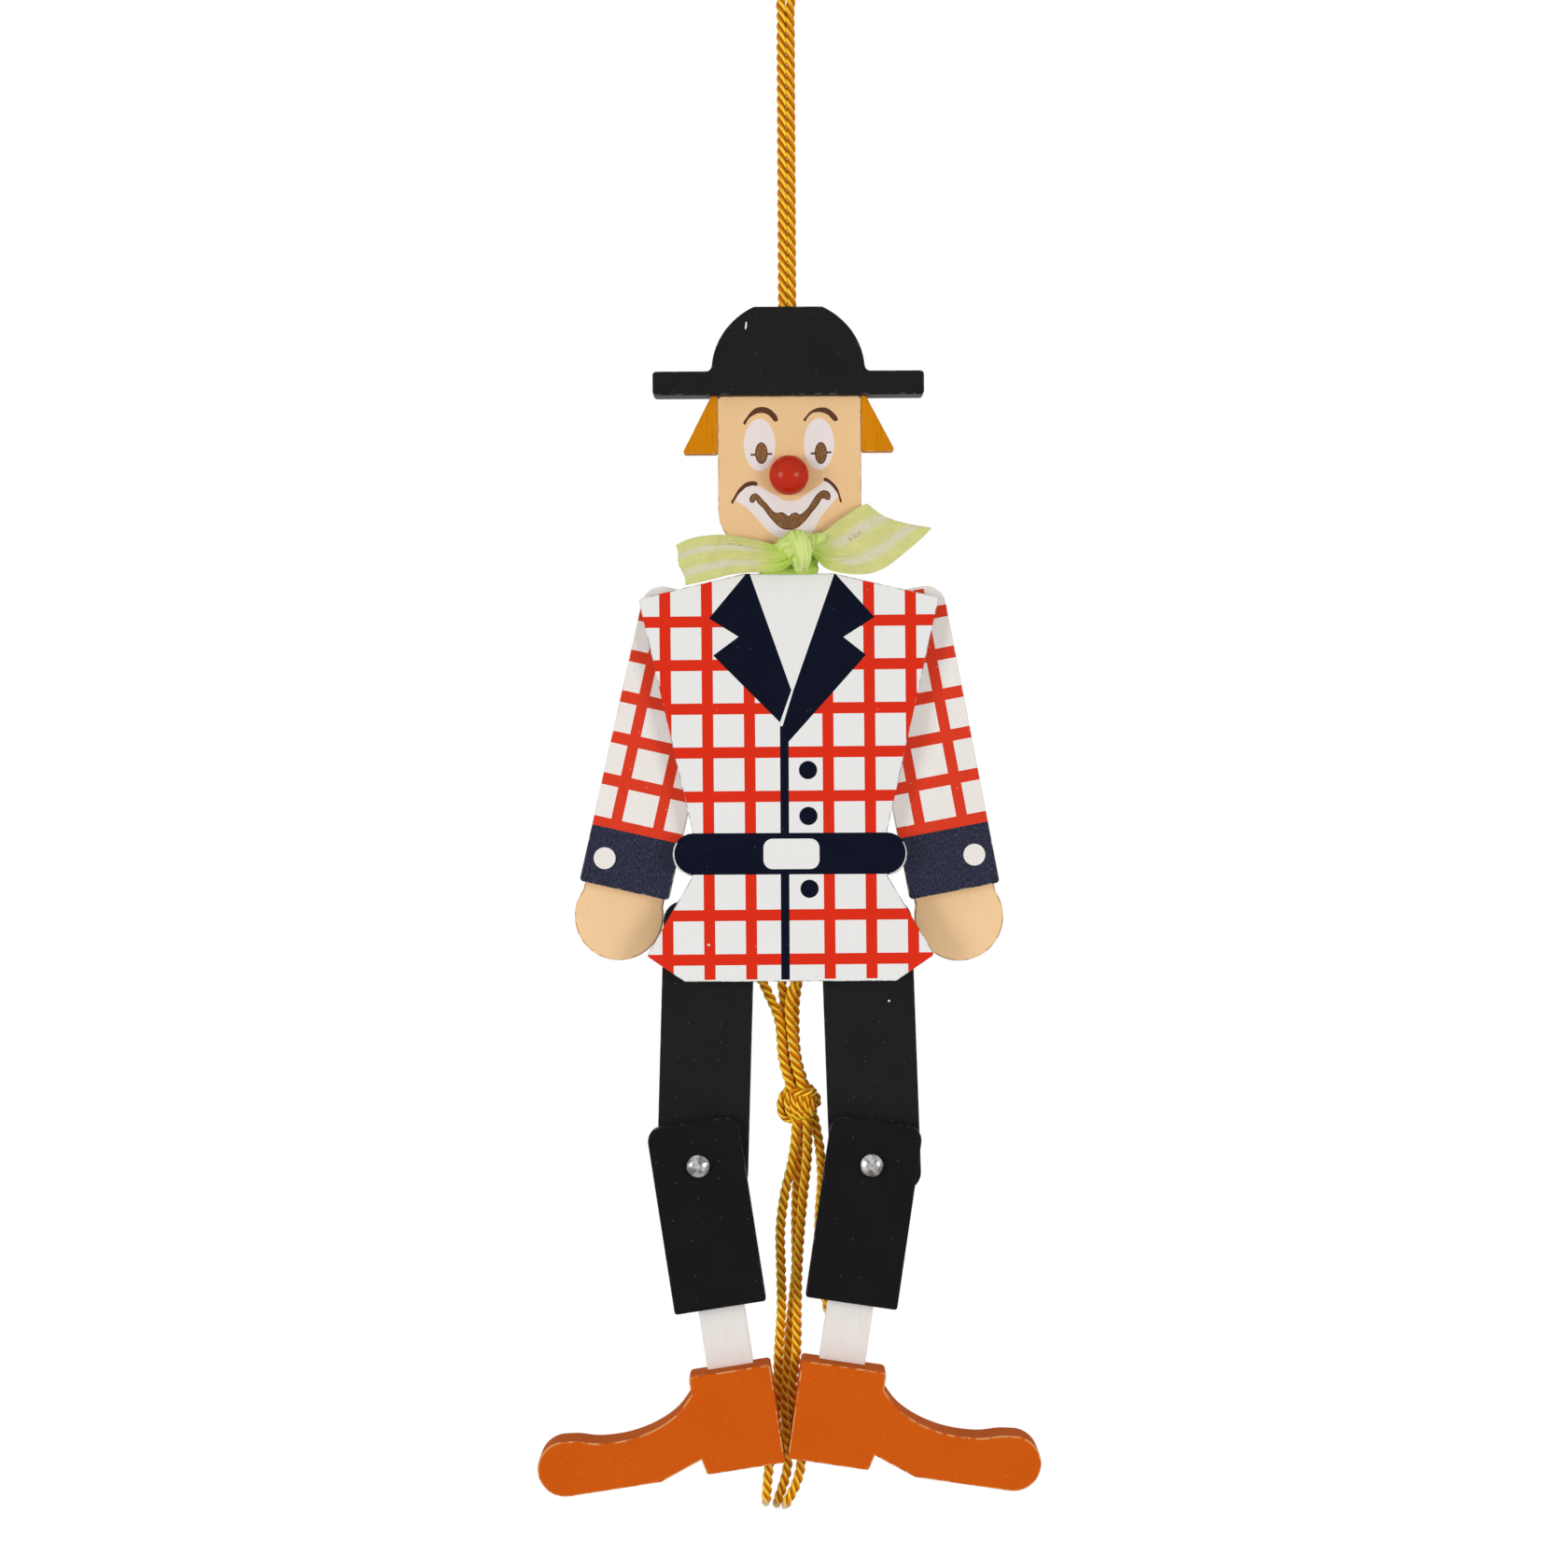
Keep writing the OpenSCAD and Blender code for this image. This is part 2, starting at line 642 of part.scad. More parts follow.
module hat_outline() {
    crown_turn = asin(crown_h / crown_rise);
    crown_steps = 20;
    crown_side = [
        for (k = [0:crown_steps])
            let (a = crown_turn * k / crown_steps)
            [crown_w / 2 * cos(a), brim_top + crown_rise * sin(a)]
    ];
    plate(-brim_w / 2, brim_w / 2, brim_foot, brim_top, brim_r, brim_r);
    polygon(concat(
        [[-crown_w / 2, brim_top - brim_h / 2], [crown_w / 2, brim_top - brim_h / 2]],
        crown_side,
        [for (k = [crown_steps:-1:0]) [-crown_side[k][0], crown_side[k][1]]]
    ));
    for (side = [left, right])
        translate([side * crown_w / 2, brim_top])
            difference() {
                translate([-crown_fillet, -crown_fillet])
                    square(2 * crown_fillet);
                translate([side * crown_fillet, crown_fillet])
                    circle(crown_fillet);
                translate([-side * 2 * crown_fillet, 0])
                    square(2 * crown_fillet, center = true);
            }
}

module hat_board() {
    color(PAINT_BLACK)
        difference() {
            board(-hat_t / 2, hat_t)
                translate([hat_aside, 0])
                    hat_outline();
            hat_pin_rods(fit_air);
            translate([0, 0, crown_top - hang_bore])
                cylinder(d = hang_span + hang_d + 0.2, h = hang_bore + past);
        }
}

module hat_pins() {
    color(STEEL)
        hat_pin_rods(0);
}

// The left block is wider by as much as the head sits aside, so that both reach equally far out.
module hair(side) {
    aside = side == left ? head_aside : 0;
    inner = head_w / 2 + 0.1;
    foot = brim_foot - hair_h - (side == left ? hair_more : 0);
    color(PAINT_HAIR)
        translate([head_aside, 0, 0])
            on_side(side)
                board(face, board_t)
                    polygon(rounded(
                        [
                            [inner, foot], [head_w / 2 + hair_w + aside, foot],
                            [head_w / 2 + hair_top_w + aside, brim_foot], [inner, brim_foot]
                        ],
                        [0.6, 0.7, 0.6, 0]
                    ));
}

module hair_left() hair(left);
module hair_right() hair(right);

module nose_bead() {
    color(PAINT_RED) {
        intersection() {
            translate([nose_aside, face - nose_out + nose_d / 2, nose_z])
                rotate([90, 0, 0])
                    sphere(d = nose_d);
            rod(nose_aside, nose_z, face - nose_out - past, face, nose_d + past);
        }
        rod(nose_aside, nose_z, face - nose_out / 2, face + nose_peg, nose_peg_d);
    }
}

// A screw from behind: its shank in the torso, the limb on it, and its domed head
module screw_at(x, z, limb_back) {
    seat = limb_back + head_air + washer_t;
    rim_h = screw_head_h * 0.4;
    slot_w = 1;
    slot_depth = 0.5;
    rod(x, z, back - screw_bite, seat, pin_d);
    difference() {
        union() {
            rod(x, z, seat, seat + rim_h, screw_head_d);
            dome(x, z, seat + rim_h, screw_head_d, screw_head_h - rim_h, 1);
        }
        translate([x, seat + screw_head_h - slot_depth + past / 2, z])
            cube([screw_head_d + past, past, slot_w], center = true);
    }
}

module washer_at(x, z, y) {
    difference() {
        rod(x, z, y, y + washer_t, washer_d);
        rod(x, z, y - past, y + washer_t + past, pin_d + 2 * pin_run);
    }
}

module shoulder_screws() {
    color(STEEL)
        for (side = [left, right])
            screw_at(shoulder_x(side), shoulder_z, arm_back);
}

module shoulder_washers() {
    color(STEEL)
        for (side = [left, right])
            washer_at(shoulder_x(side), shoulder_z, arm_back + head_air);
}

module hip_screws() {
    color(STEEL)
        for (side = [left, right])
            screw_at(hip_x(side), hip_z, thigh_back);
}

module hip_washers() {
    color(STEEL)
        for (side = [left, right])
            washer_at(hip_x(side), hip_z, thigh_back + head_air);
}

// The ribbon's band passes between chin and neckline and round the neck strip's back.
module ribbon_band() {
    inner_x = neck_w / 2 + ribbon_air;
    inner_y = neck_back + ribbon_air;
    low = neckline + ribbon_air;
    band_h = neck_gap - 2 * ribbon_air;
    front_y = face - ribbon_air;
    color(RIBBON_GREEN)
        translate([0, 0, low])
            linear_extrude(band_h)
                difference() {
                    translate([-inner_x - band_t, front_y - band_t])
                        square([2 * (inner_x + band_t), inner_y - front_y + 2 * band_t]);
                    translate([-inner_x, front_y])
                        square([2 * inner_x, inner_y - front_y]);
                }
}

// The ribbon's knot: a soft lump with one fold drawn over it
module ribbon_knot() {
    lump_r = bow_t / 2 - 0.3;
    color(RIBBON_GREEN)
        translate(BOW_AT) {
            hull()
                for (x = [-1, 1], z = [-1, 1])
                    translate([x * (bow_w / 2 - lump_r), 0, z * (bow_h / 2 - lump_r - 0.8 * (1 + x) / 2)])
                        sphere(r = lump_r, $fn = 20);
            hull() {
                translate([-1.6, -0.6, bow_h / 2 - lump_r])
                    sphere(r = lump_r - 0.4, $fn = 20);
                translate([1.4, -0.6, 0.6 - bow_h / 2 + lump_r])
                    sphere(r = lump_r - 0.3, $fn = 20);
            }
        }
}

module ribbon_tail_left() {
    color(RIBBON_GREEN)
        ribbon_sheet(through(TAIL_LEFT_LOWER, 4), through(TAIL_LEFT_UPPER, 4), 2);
}

module ribbon_tail_right() {
    color(RIBBON_GREEN)
        ribbon_sheet(through(TAIL_RIGHT_UPPER, 4), through(TAIL_RIGHT_LOWER, 4), 2);
}

module hanging_cord() {
    color(CORD_GOLD)
        cord_tube(HANG_ROUTE, hang_d);
}

// The cord hole of a limb, at its crank's radius and at half the swing above the horizontal
module cord_hole(crank, swing, hang, y0, y1, d) {
    a = swing / 2 + hang;
    rod(-crank * cos(a), crank * sin(a), y0, y1, d);
}

module sleeve(side) {
    color(PAINT_CREAM)
        at_shoulder(side)
            difference() {
                board(arm_front, board_t)
                    plate(-sleeve_w / 2, sleeve_w / 2, sleeve_top - sleeve_l, sleeve_top, 1, sleeve_r);
                rod(0, 0, arm_front - past, arm_back + past, pin_d + 2 * pin_run);
                cord_hole(
                    arm_crank, arm_swing, arm_hang(side),
                    arm_front - past, arm_back + past, cord_hole_d
                );
            }
}

module sleeve_left() sleeve(left);
module sleeve_right() sleeve(right);

module hand(side) {
    cuff = sleeve_top - sleeve_l;
    color(PAINT_SKIN)
        at_shoulder(side)
            board(arm_back, board_t) {
                translate([0, cuff - hand_out])
                    circle(hand_r);
                plate(-wrist_w / 2, wrist_w / 2, cuff - hand_out, cuff + wrist_lap, 0, 1);
            }
}

module hand_left() hand(left);
module hand_right() hand(right);

// A knot behind a limb, and the end of cord that fills the limb's hole
module cord_stop(crank, swing, hang, limb_back) {
    a = swing / 2 + hang;
    x = -crank * cos(a);
    z = crank * sin(a);
    lift = stop_r * 0.85;
    intersection() {
        translate([x, limb_back + lift, z])
            sphere(r = stop_r);
        rod(x, z, limb_back, limb_back + 2 * stop_r, 2 * stop_r + past);
    }
    rod(x, z, limb_back - board_t, limb_back + stop_r, cord_hole_d - 2 * fit_air);
}

module arm_cord_stop(side) {
    color(CORD_GOLD)
        at_shoulder(side)
            cord_stop(arm_crank, arm_swing, arm_hang(side), arm_back);
}

module arm_cord_stop_left() arm_cord_stop(left);
module arm_cord_stop_right() arm_cord_stop(right);

module thigh(side) {
    color(PAINT_BLACK)
        difference() {
            at_hip(side)
                board(thigh_front, board_t)
                    plate(-thigh_w / 2, thigh_w / 2, -knee_drop - thigh_end, thigh_top, thigh_r, thigh_r);
            at_hip(side)
                rod(0, 0, thigh_front - past, thigh_back + past, pin_d + 2 * pin_run);
            at_hip(side)
                cord_hole(
                    leg_crank, leg_swing, thigh_lean,
                    thigh_front - past, thigh_back + past, cord_hole_d
                );
            rod(knee_x(side), knee_z, thigh_front - past, thigh_back + past, pin_d + 2 * fit_air);
        }
}

module thigh_left() thigh(left);
module thigh_right() thigh(right);

module leg_cord_stop(side) {
    color(CORD_GOLD)
        at_hip(side)
            cord_stop(leg_crank, leg_swing, thigh_lean, thigh_back);
}

module leg_cord_stop_left() leg_cord_stop(left);
module leg_cord_stop_right() leg_cord_stop(right);

// The knee rivet: a domed head in front of the calf, and a shank clinched behind the thigh
module knee_rivet(side) {
    front = calf_front - head_air;
    clinch = thigh_back + washer_t;
    clinch_d = pin_d + 1.6;
    clinch_h = 1;
    color(STEEL) {
        rod(knee_x(side), knee_z, front - rivet_h / 2, clinch + clinch_h / 2, pin_d);
        dome(knee_x(side), knee_z, front, rivet_d, rivet_h, -1);
        dome(knee_x(side), knee_z, clinch, clinch_d, clinch_h, 1);
    }
}

module knee_rivet_left() knee_rivet(left);
module knee_rivet_right() knee_rivet(right);

module knee_washer(side) {
    color(STEEL)
        washer_at(knee_x(side), knee_z, thigh_back);
}

module knee_washer_left() knee_washer(left);
module knee_washer_right() knee_washer(right);

module calf(side) {
    foot = -calf_drop - (side == left ? calf_more : 0);
    color(PAINT_BLACK)
        at_knee(side)
            difference() {
                board(calf_front, board_t)
                    plate(-calf_w / 2, calf_w / 2, foot, calf_top, 0.8, calf_r);
                rod(0, 0, calf_front - past, calf_back + past, pin_d + 2 * pin_run);
            }
}

module calf_left() calf(left);
module calf_right() calf(right);

module sock(side) {
    color(PAINT_CREAM)
        at_knee(side)
            board(calf_back, sock_t)
                plate(-sock_w / 2, sock_w / 2, shoe_top(side) - sock_tenon, -sock_start, 0, 0.5);
}

module sock_left() sock(left);
module sock_right() sock(right);

module shoe_outline(side) {
    ankle = shoe_top(side);
    sole = ankle - shoe_h;
    ankle_x = ankle_w + side * ankles_aside;
    toe_x = toe_out + (side == right ? toe_more : 0);
    heel = -heel_in(side);
    toe_z = sole + toe_r;
    toe_steps = 20;
    toe_top = toe_z + toe_r;
    vamp_top = ankle - ankle_h;
    vamp_span = toe_x - ankle_x;
    vamp_drop = vamp_top - toe_top;
    dip = 2.1;
    bevel = 0.6;
    instep = [
        [ankle_x, vamp_top],
        [ankle_x + 0.12 * vamp_span, vamp_top - 0.62 * vamp_drop],
        [ankle_x + 0.29 * vamp_span, vamp_top - 1.06 * vamp_drop],
        [ankle_x + 0.5 * vamp_span, toe_top - dip],
        [ankle_x + 0.72 * vamp_span, toe_top - 0.95 * dip],
        [ankle_x + 0.88 * vamp_span, toe_top - 0.25 * dip],
        [toe_x, toe_top]
    ];
    polygon(concat(
        [[heel, sole + bevel], [heel, ankle - bevel], [heel + bevel, ankle]],
        corner_arc([0, ankle], [ankle_x, ankle], [ankle_x, vamp_top], 1.2),
        through(instep, 4),
        [
            for (k = [1:toe_steps])
                let (a = 90 - 180 * k / toe_steps)
                [toe_x + toe_r * cos(a), toe_z + toe_r * sin(a)]
        ],
        [[ankle_x + arch_l, sole], [ankle_x, sole + arch_h]],
        corner_arc([ankle_x, sole + arch_h], [ankle_x - 1, sole], [0, sole], 0.8),
        [[heel + bevel, sole]]
    ));
}

module shoe(side) {
    slot_air = 0.1;
    color(PAINT_SHOE)
        at_knee(side)
            difference() {
                board(shoe_front, shoe_t)
                    shoe_outline(side);
                board(calf_back - fit_air, sock_t + 2 * fit_air)
                    plate(
                        -sock_w / 2 - fit_air, sock_w / 2 + fit_air,
                        shoe_top(side) - sock_tenon - slot_air, shoe_top(side) + past, 0, 0
                    );
            }
}

module shoe_left() shoe(left);
module shoe_right() shoe(right);

module arm_cord_left() color(CORD_GOLD) cord_tube(ARM_LEFT_ROUTE, cord_d);
module arm_cord_right() color(CORD_GOLD) cord_tube(ARM_RIGHT_ROUTE, cord_d);
module leg_cord_left() color(CORD_GOLD) cord_tube(LEG_LEFT_ROUTE, cord_d);
module leg_cord_right() color(CORD_GOLD) cord_tube(LEG_RIGHT_ROUTE, cord_d);

// The knot that ties the four cords together, a barrel with flat ends where they go in and come out
module pull_knot() {
    color(CORD_GOLD)
        translate(KNOT_AT)
            rotate_extrude()
                polygon([
                    [0, -knot_h / 2], [knot_w * 0.4, -knot_h / 2], [knot_w * 0.47, -knot_h * 0.38],
                    [knot_w / 2, -knot_h * 0.16], [knot_w / 2, knot_h * 0.16],
                    [knot_w * 0.47, knot_h * 0.38], [knot_w * 0.4, knot_h / 2], [0, knot_h / 2]
                ]);
}

module cord_tail_1() color(CORD_GOLD) cord_tube(TAIL_1_ROUTE, cord_d);
module cord_tail_2() color(CORD_GOLD) cord_tube(TAIL_2_ROUTE, cord_d);
module cord_tail_3() color(CORD_GOLD) cord_tube(TAIL_3_ROUTE, cord_d);
module cord_tail_4() color(CORD_GOLD) cord_tube(TAIL_4_ROUTE, cord_d);

torso_board();
neck_strip();
head_block();
hat_board();
hat_pins();
hair_left();
hair_right();
nose_bead();
shoulder_screws();
shoulder_washers();
hip_screws();
hip_washers();
ribbon_band();
ribbon_knot();
ribbon_tail_left();
ribbon_tail_right();
hanging_cord();
sleeve_left();
sleeve_right();
hand_left();
hand_right();
arm_cord_stop_left();
arm_cord_stop_right();
thigh_left();
thigh_right();
leg_cord_stop_left();
leg_cord_stop_right();
knee_rivet_left();
knee_rivet_right();
knee_washer_left();
knee_washer_right();
calf_left();
calf_right();
sock_left();
sock_right();
shoe_left();
shoe_right();
arm_cord_left();
arm_cord_right();
leg_cord_left();
leg_cord_right();
pull_knot();
cord_tail_1();
cord_tail_2();
cord_tail_3();
cord_tail_4();
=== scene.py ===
"""A hanging wooden jumping jack: paint, cords, ribbon and fittings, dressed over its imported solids."""
import json
import logging
import math
from dataclasses import dataclass, field
from enum import Enum
from typing import Mapping, Sequence

import bpy
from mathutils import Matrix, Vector, noise
from mathutils.geometry import delaunay_2d_cdt


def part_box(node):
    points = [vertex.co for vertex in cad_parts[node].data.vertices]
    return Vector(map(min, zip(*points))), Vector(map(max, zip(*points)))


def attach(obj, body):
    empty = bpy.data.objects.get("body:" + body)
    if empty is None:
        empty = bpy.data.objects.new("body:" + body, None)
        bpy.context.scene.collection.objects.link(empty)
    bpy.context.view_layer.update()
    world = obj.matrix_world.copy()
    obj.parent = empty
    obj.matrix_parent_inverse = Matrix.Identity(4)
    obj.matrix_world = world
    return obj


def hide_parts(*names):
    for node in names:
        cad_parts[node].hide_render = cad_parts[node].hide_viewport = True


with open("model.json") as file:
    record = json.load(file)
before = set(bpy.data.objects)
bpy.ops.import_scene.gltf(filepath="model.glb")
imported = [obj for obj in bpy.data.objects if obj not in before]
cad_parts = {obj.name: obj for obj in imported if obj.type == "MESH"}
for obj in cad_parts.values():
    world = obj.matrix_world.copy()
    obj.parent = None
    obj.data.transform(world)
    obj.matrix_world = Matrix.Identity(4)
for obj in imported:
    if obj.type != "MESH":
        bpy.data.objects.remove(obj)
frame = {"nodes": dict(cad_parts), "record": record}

LOG = logging.getLogger("jumping_jack")
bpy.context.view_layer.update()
# A millimetre in metres, and microns in a metre
MM = 0.001
MICRONS = 1_000_000
# Least squared run, least difference and least distance between paint corners, in millimetres
NO_RUN = 1e-12
NO_GAP = 1e-9
ONE_CORNER = 1e-5
# How far apart the points of a cord lie, in millimetres, and how many sides painted rounds have
CORD_STEP = 0.46
BUTTON_SIDES = 36
PUPIL_SIDES = 32
CHIP_SIDES = 10

Colour = tuple[float, float, float, float]
Point = tuple[float, float]
Place = tuple[float, float, float]
Outline = Sequence[Point]
Path = Sequence[Place]
Region = tuple[str, Outline]
Settings = Mapping[str, object] | None
Inputs = Mapping[str | int, object] | None


def linear(red: float, green: float, blue: float) -> Colour:
    """Turn a colour as a display shows it into light.

    Args:
        red: display value, 0 to 255.
        green: display value, 0 to 255.
        blue: display value, 0 to 255.

    Returns:
        The same colour in linear light, with full cover.
    """
    shares = [value / 255 for value in (red, green, blue)]
    light = [s / 12.92 if s <= 0.04045 else ((s + 0.055) / 1.055) ** 2.4 for s in shares]
    return (light[0], light[1], light[2], 1.0)


def shade(colour: Colour, factor: float) -> Colour:
    """A colour made lighter or darker by a factor."""
    return (colour[0] * factor, colour[1] * factor, colour[2] * factor, colour[3])


class Side(Enum):
    """The two sides of the figure, as the viewer sees them."""

    LEFT = -1
    RIGHT = 1

    @property
    def word(self) -> str:
        """The side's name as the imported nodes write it."""
        return self.name.lower()


# Shaders


class Value:
    """A socket of a shader that takes part in plain sums."""

    def __init__(self, graph: "Graph", socket: bpy.types.NodeSocket) -> None:
        """Wrap one output socket of a graph."""
        self.graph = graph
        self.socket = socket

    def _sum(self, operation: str, first: "Value | float", second: "Value | float") -> "Value":
        """Add a Math node for one operation on two values."""
        return self.graph.value("ShaderNodeMath", {"operation": operation}, {0: first, 1: second})

    def __add__(self, other: "Value | float") -> "Value":
        """Value plus other."""
        return self._sum("ADD", self, other)

    def __radd__(self, other: float) -> "Value":
        """Other plus value."""
        return self._sum("ADD", other, self)

    def __sub__(self, other: "Value | float") -> "Value":
        """Value minus other."""
        return self._sum("SUBTRACT", self, other)

    def __rsub__(self, other: float) -> "Value":
        """Other minus value."""
        return self._sum("SUBTRACT", other, self)

    def __mul__(self, other: "Value | float") -> "Value":
        """Value times other."""
        return self._sum("MULTIPLY", self, other)

    def __rmul__(self, other: float) -> "Value":
        """Other times value."""
        return self._sum("MULTIPLY", other, self)

    def __gt__(self, other: "Value | float") -> "Value":
        """1 where value is over other, and 0 elsewhere, which other < value asks for too."""
        return self._sum("GREATER_THAN", self, other)

    def __lt__(self, other: "Value | float") -> "Value":
        """1 where value is under other, and 0 elsewhere."""
        return self._sum("LESS_THAN", self, other)


class Graph:
    """A node tree that is written as expressions."""

    def __init__(self, tree: bpy.types.NodeTree) -> None:
        """Start an empty graph in a node tree."""
        self.tree = tree
        tree.nodes.clear()

    def node(self, kind: str, settings: Settings = None, inputs: Inputs = None) -> bpy.types.Node:
        """Add a node.

        Args:
            kind: the node's type.
            settings: its own settings, which are set first.
            inputs: values or links of its sockets, by name or number.

        Returns:
            The new node.
        """
        made = self.tree.nodes.new(kind)
        for name, setting in (settings or {}).items():
            setattr(made, name, setting)
        for name, given in (inputs or {}).items():
            if isinstance(given, Value):
                self.tree.links.new(given.socket, made.inputs[name])
            else:
                made.inputs[name].default_value = given
        return made

    def value(self, kind: str, settings: Settings = None, inputs: Inputs = None,
              output: str | int = 0) -> Value:
        """Add a node and take one of its outputs.

        Args:
            kind: the node's type.
            settings: its own settings.
            inputs: values or links of its sockets.
            output: which output, by name or number.

        Returns:
            That output as a value.
        """
        return Value(self, self.node(kind, settings, inputs).outputs[output])

    def blend(self, share: Value | float, first: Value | Colour, second: Value | Colour) -> Value:
        """Mix two colours, from the first at 0 to the second at 1."""
        return self.value("ShaderNodeMix", {"data_type": "RGBA"}, {0: share, 6: first, 7: second}, 2)

    def step(self, given: Value, low: float, high: float) -> Value:
        """Rise smoothly from 0 at low to 1 at high."""
        settings = {"interpolation_type": "SMOOTHSTEP", "clamp": True}
        return self.value("ShaderNodeMapRange", settings, {0: given, 1: low, 2: high})

    def stretched(self, place: Value, factors: Place) -> Value:
        """Stretch coordinates by a factor along each axis."""
        return self.value("ShaderNodeVectorMath", {"operation": "MULTIPLY"}, {0: place, 1: factors})

    def noise(self, place: Value, scale: float, detail: float = 2.0) -> Value:
        """Soft noise from 0 to 1, with so many features a metre."""
        return self.value("ShaderNodeTexNoise", {}, {"Vector": place, "Scale": scale, "Detail": detail})


class Shader(Graph):
    """A material with one Principled surface."""

    def __init__(self, name: str) -> None:
        """Start the material with its surface and output.

        Args:
            name: the material's name.
        """
        self.material = bpy.data.materials.new(name)
        self.material.use_nodes = True
        super().__init__(self.material.node_tree)
        self.surface = self.node("ShaderNodeBsdfPrincipled")
        self.node("ShaderNodeOutputMaterial", {}, {0: Value(self, self.surface.outputs[0])})

    def place(self) -> Value:
        """Coordinates of the piece itself, in metres."""
        return self.value("ShaderNodeTexCoord", output="Object")

    def laid(self) -> Value:
        """Coordinates along and across a cord or ribbon."""
        return self.value("ShaderNodeTexCoord", output="UV")

    def mark(self, name: str) -> Value:
        """A number that the mesh carries at its points."""
        return self.value("ShaderNodeAttribute", {"attribute_name": name}, {}, "Fac")

    def relief(self, height: Value, depth: float) -> Value:
        """Turn a height from 0 to 1 into a surface that is so many metres deep."""
        return self.value("ShaderNodeBump", {}, {"Height": height, "Distance": depth, "Strength": 1.0})

    def feed(self, inputs: Mapping[str, object]) -> None:
        """Set or link sockets of the surface.

        Args:
            inputs: values or links, by the socket's name.
        """
        for name, given in inputs.items():
            if isinstance(given, Value):
                self.tree.links.new(given.socket, self.surface.inputs[name])
            else:
                self.surface.inputs[name].default_value = given


# Finishes


@dataclass(frozen=True)
class Paint:
    """Satin paint on a sanded board."""

    colour: Colour
    roughness: float = 0.5
    gloss: float = 0.12
    mottle: float = 0.05
    grain: float = 0.03
    grain_depth: float = 0.02
    speck: Colour = (0.5, 0.48, 0.45, 1.0)
    speck_share: float = 0.25
    # Colour and share of the patches on the rounded edges: scuffs on most paints, painted shade on the white
    # coat
    worn: Colour = (0.6, 0.52, 0.42, 1.0)
    wear: float = 0.3
    coat: float = 0.0
    flecks: float = 0.0

    # Features a metre of each noise, and how far fibres and flecks are drawn out along the board
    MOTTLES = 70
    FIBRES = 1500
    PORES = 2600
    FLECKS = 3600
    RUBS = 420
    FIBRE_RUN = (1, 1, 0.07)
    FLECK_RUN = (1, 1, 0.3)
    # Cells a metre that may hold a speck, and a speck's radius in its cell
    SPECKS = 190
    SPECK_R = 0.024
    COAT_ROUGHNESS = 0.25

    def material(self, name: str) -> bpy.types.Material:
        """Build the paint's material.

        Args:
            name: the material's name.

        Returns:
            The material.
        """
        shader = Shader(name)
        place = shader.place()
        broad = shader.noise(place, self.MOTTLES, 3)
        fibres = shader.noise(shader.stretched(place, self.FIBRE_RUN), self.FIBRES, 3)
        pores = shader.noise(place, self.PORES, 2)
        swing = 2 * self.mottle
        tone = shader.blend(broad, shade(self.colour, 1 - swing), shade(self.colour, 1 + swing))
        streaks = shader.step(fibres, 0.5, 0.72) * self.grain * 4
        tone = shader.blend(streaks, tone, shade(self.colour, 0.55))
        tone = shader.blend(self._specks(shader, place), tone, self.speck)
        if self.flecks:
            flecks = shader.noise(shader.stretched(place, self.FLECK_RUN), self.FLECKS, 2)
            tone = shader.blend(shader.step(flecks, 0.46, 0.68) * self.flecks, tone, self.speck)
        # Patches on the rounded edges take the edge colour: scuffs on most paints, painted shade lines on the
        # white coat
        rubs = shader.noise(place, self.RUBS, 3)
        rubbed_and_shaded = shader.step(rubs, 0.62 - 0.35 * self.wear, 0.72 - 0.3 * self.wear)
        tone = shader.blend(rubbed_and_shaded * shader.mark("edge") * min(1.0, 2 * self.wear), tone, self.worn)
        height = fibres * 0.6 + pores * 0.4
        shader.feed({
            "Base Color": tone,
            "Roughness": broad * 0.12 + (self.roughness - 0.06),
            "Specular IOR Level": self.gloss,
            "Coat Weight": self.coat,
            "Coat Roughness": self.COAT_ROUGHNESS,
            "Normal": shader.relief(height, self.grain_depth * MM),
        })
        return shader.material

    def _specks(self, shader: Shader, place: Value) -> Value:
        """Dust specks in the paint, about a quarter of a millimetre across, on the front and the back.

        Args:
            shader: the material in the making.
            place: coordinates of the piece.

        Returns:
            1 in a speck, and 0 elsewhere.
        """
        faced = shader.value("ShaderNodeMapping", {}, {"Vector": place, "Rotation": (-math.pi / 2, 0, 0)})
        settings = {"voronoi_dimensions": "2D"}
        cells = shader.node("ShaderNodeTexVoronoi", settings, {"Vector": faced, "Scale": self.SPECKS})
        near = Value(shader, cells.outputs["Distance"]) < self.SPECK_R
        chosen = Value(shader, cells.outputs["Color"]) < 0.5 * self.speck_share + 0.2
        return near * chosen


@dataclass(frozen=True)
class Stain:
    """Dark stain on bare wood."""

    colour: Colour

    # Fibres a metre across the grain, how far they are drawn out along it, and their depth in metres
    FIBRES = 1100
    FIBRE_RUN = (1, 1, 0.05)
    FIBRE_DEPTH = 0.08 * MM

    def material(self, name: str) -> bpy.types.Material:
        """Build the stain's material.

        Args:
            name: the material's name.

        Returns:
            The material.
        """
        shader = Shader(name)
        fibres = shader.noise(shader.stretched(shader.place(), self.FIBRE_RUN), self.FIBRES, 4)
        tone = shader.blend(fibres, shade(self.colour, 0.5), shade(self.colour, 1.7))
        shader.feed({
            "Base Color": tone,
            "Roughness": fibres * 0.2 + 0.6,
            "Specular IOR Level": 0.2,
            "Normal": shader.relief(fibres, self.FIBRE_DEPTH),
        })
        return shader.material


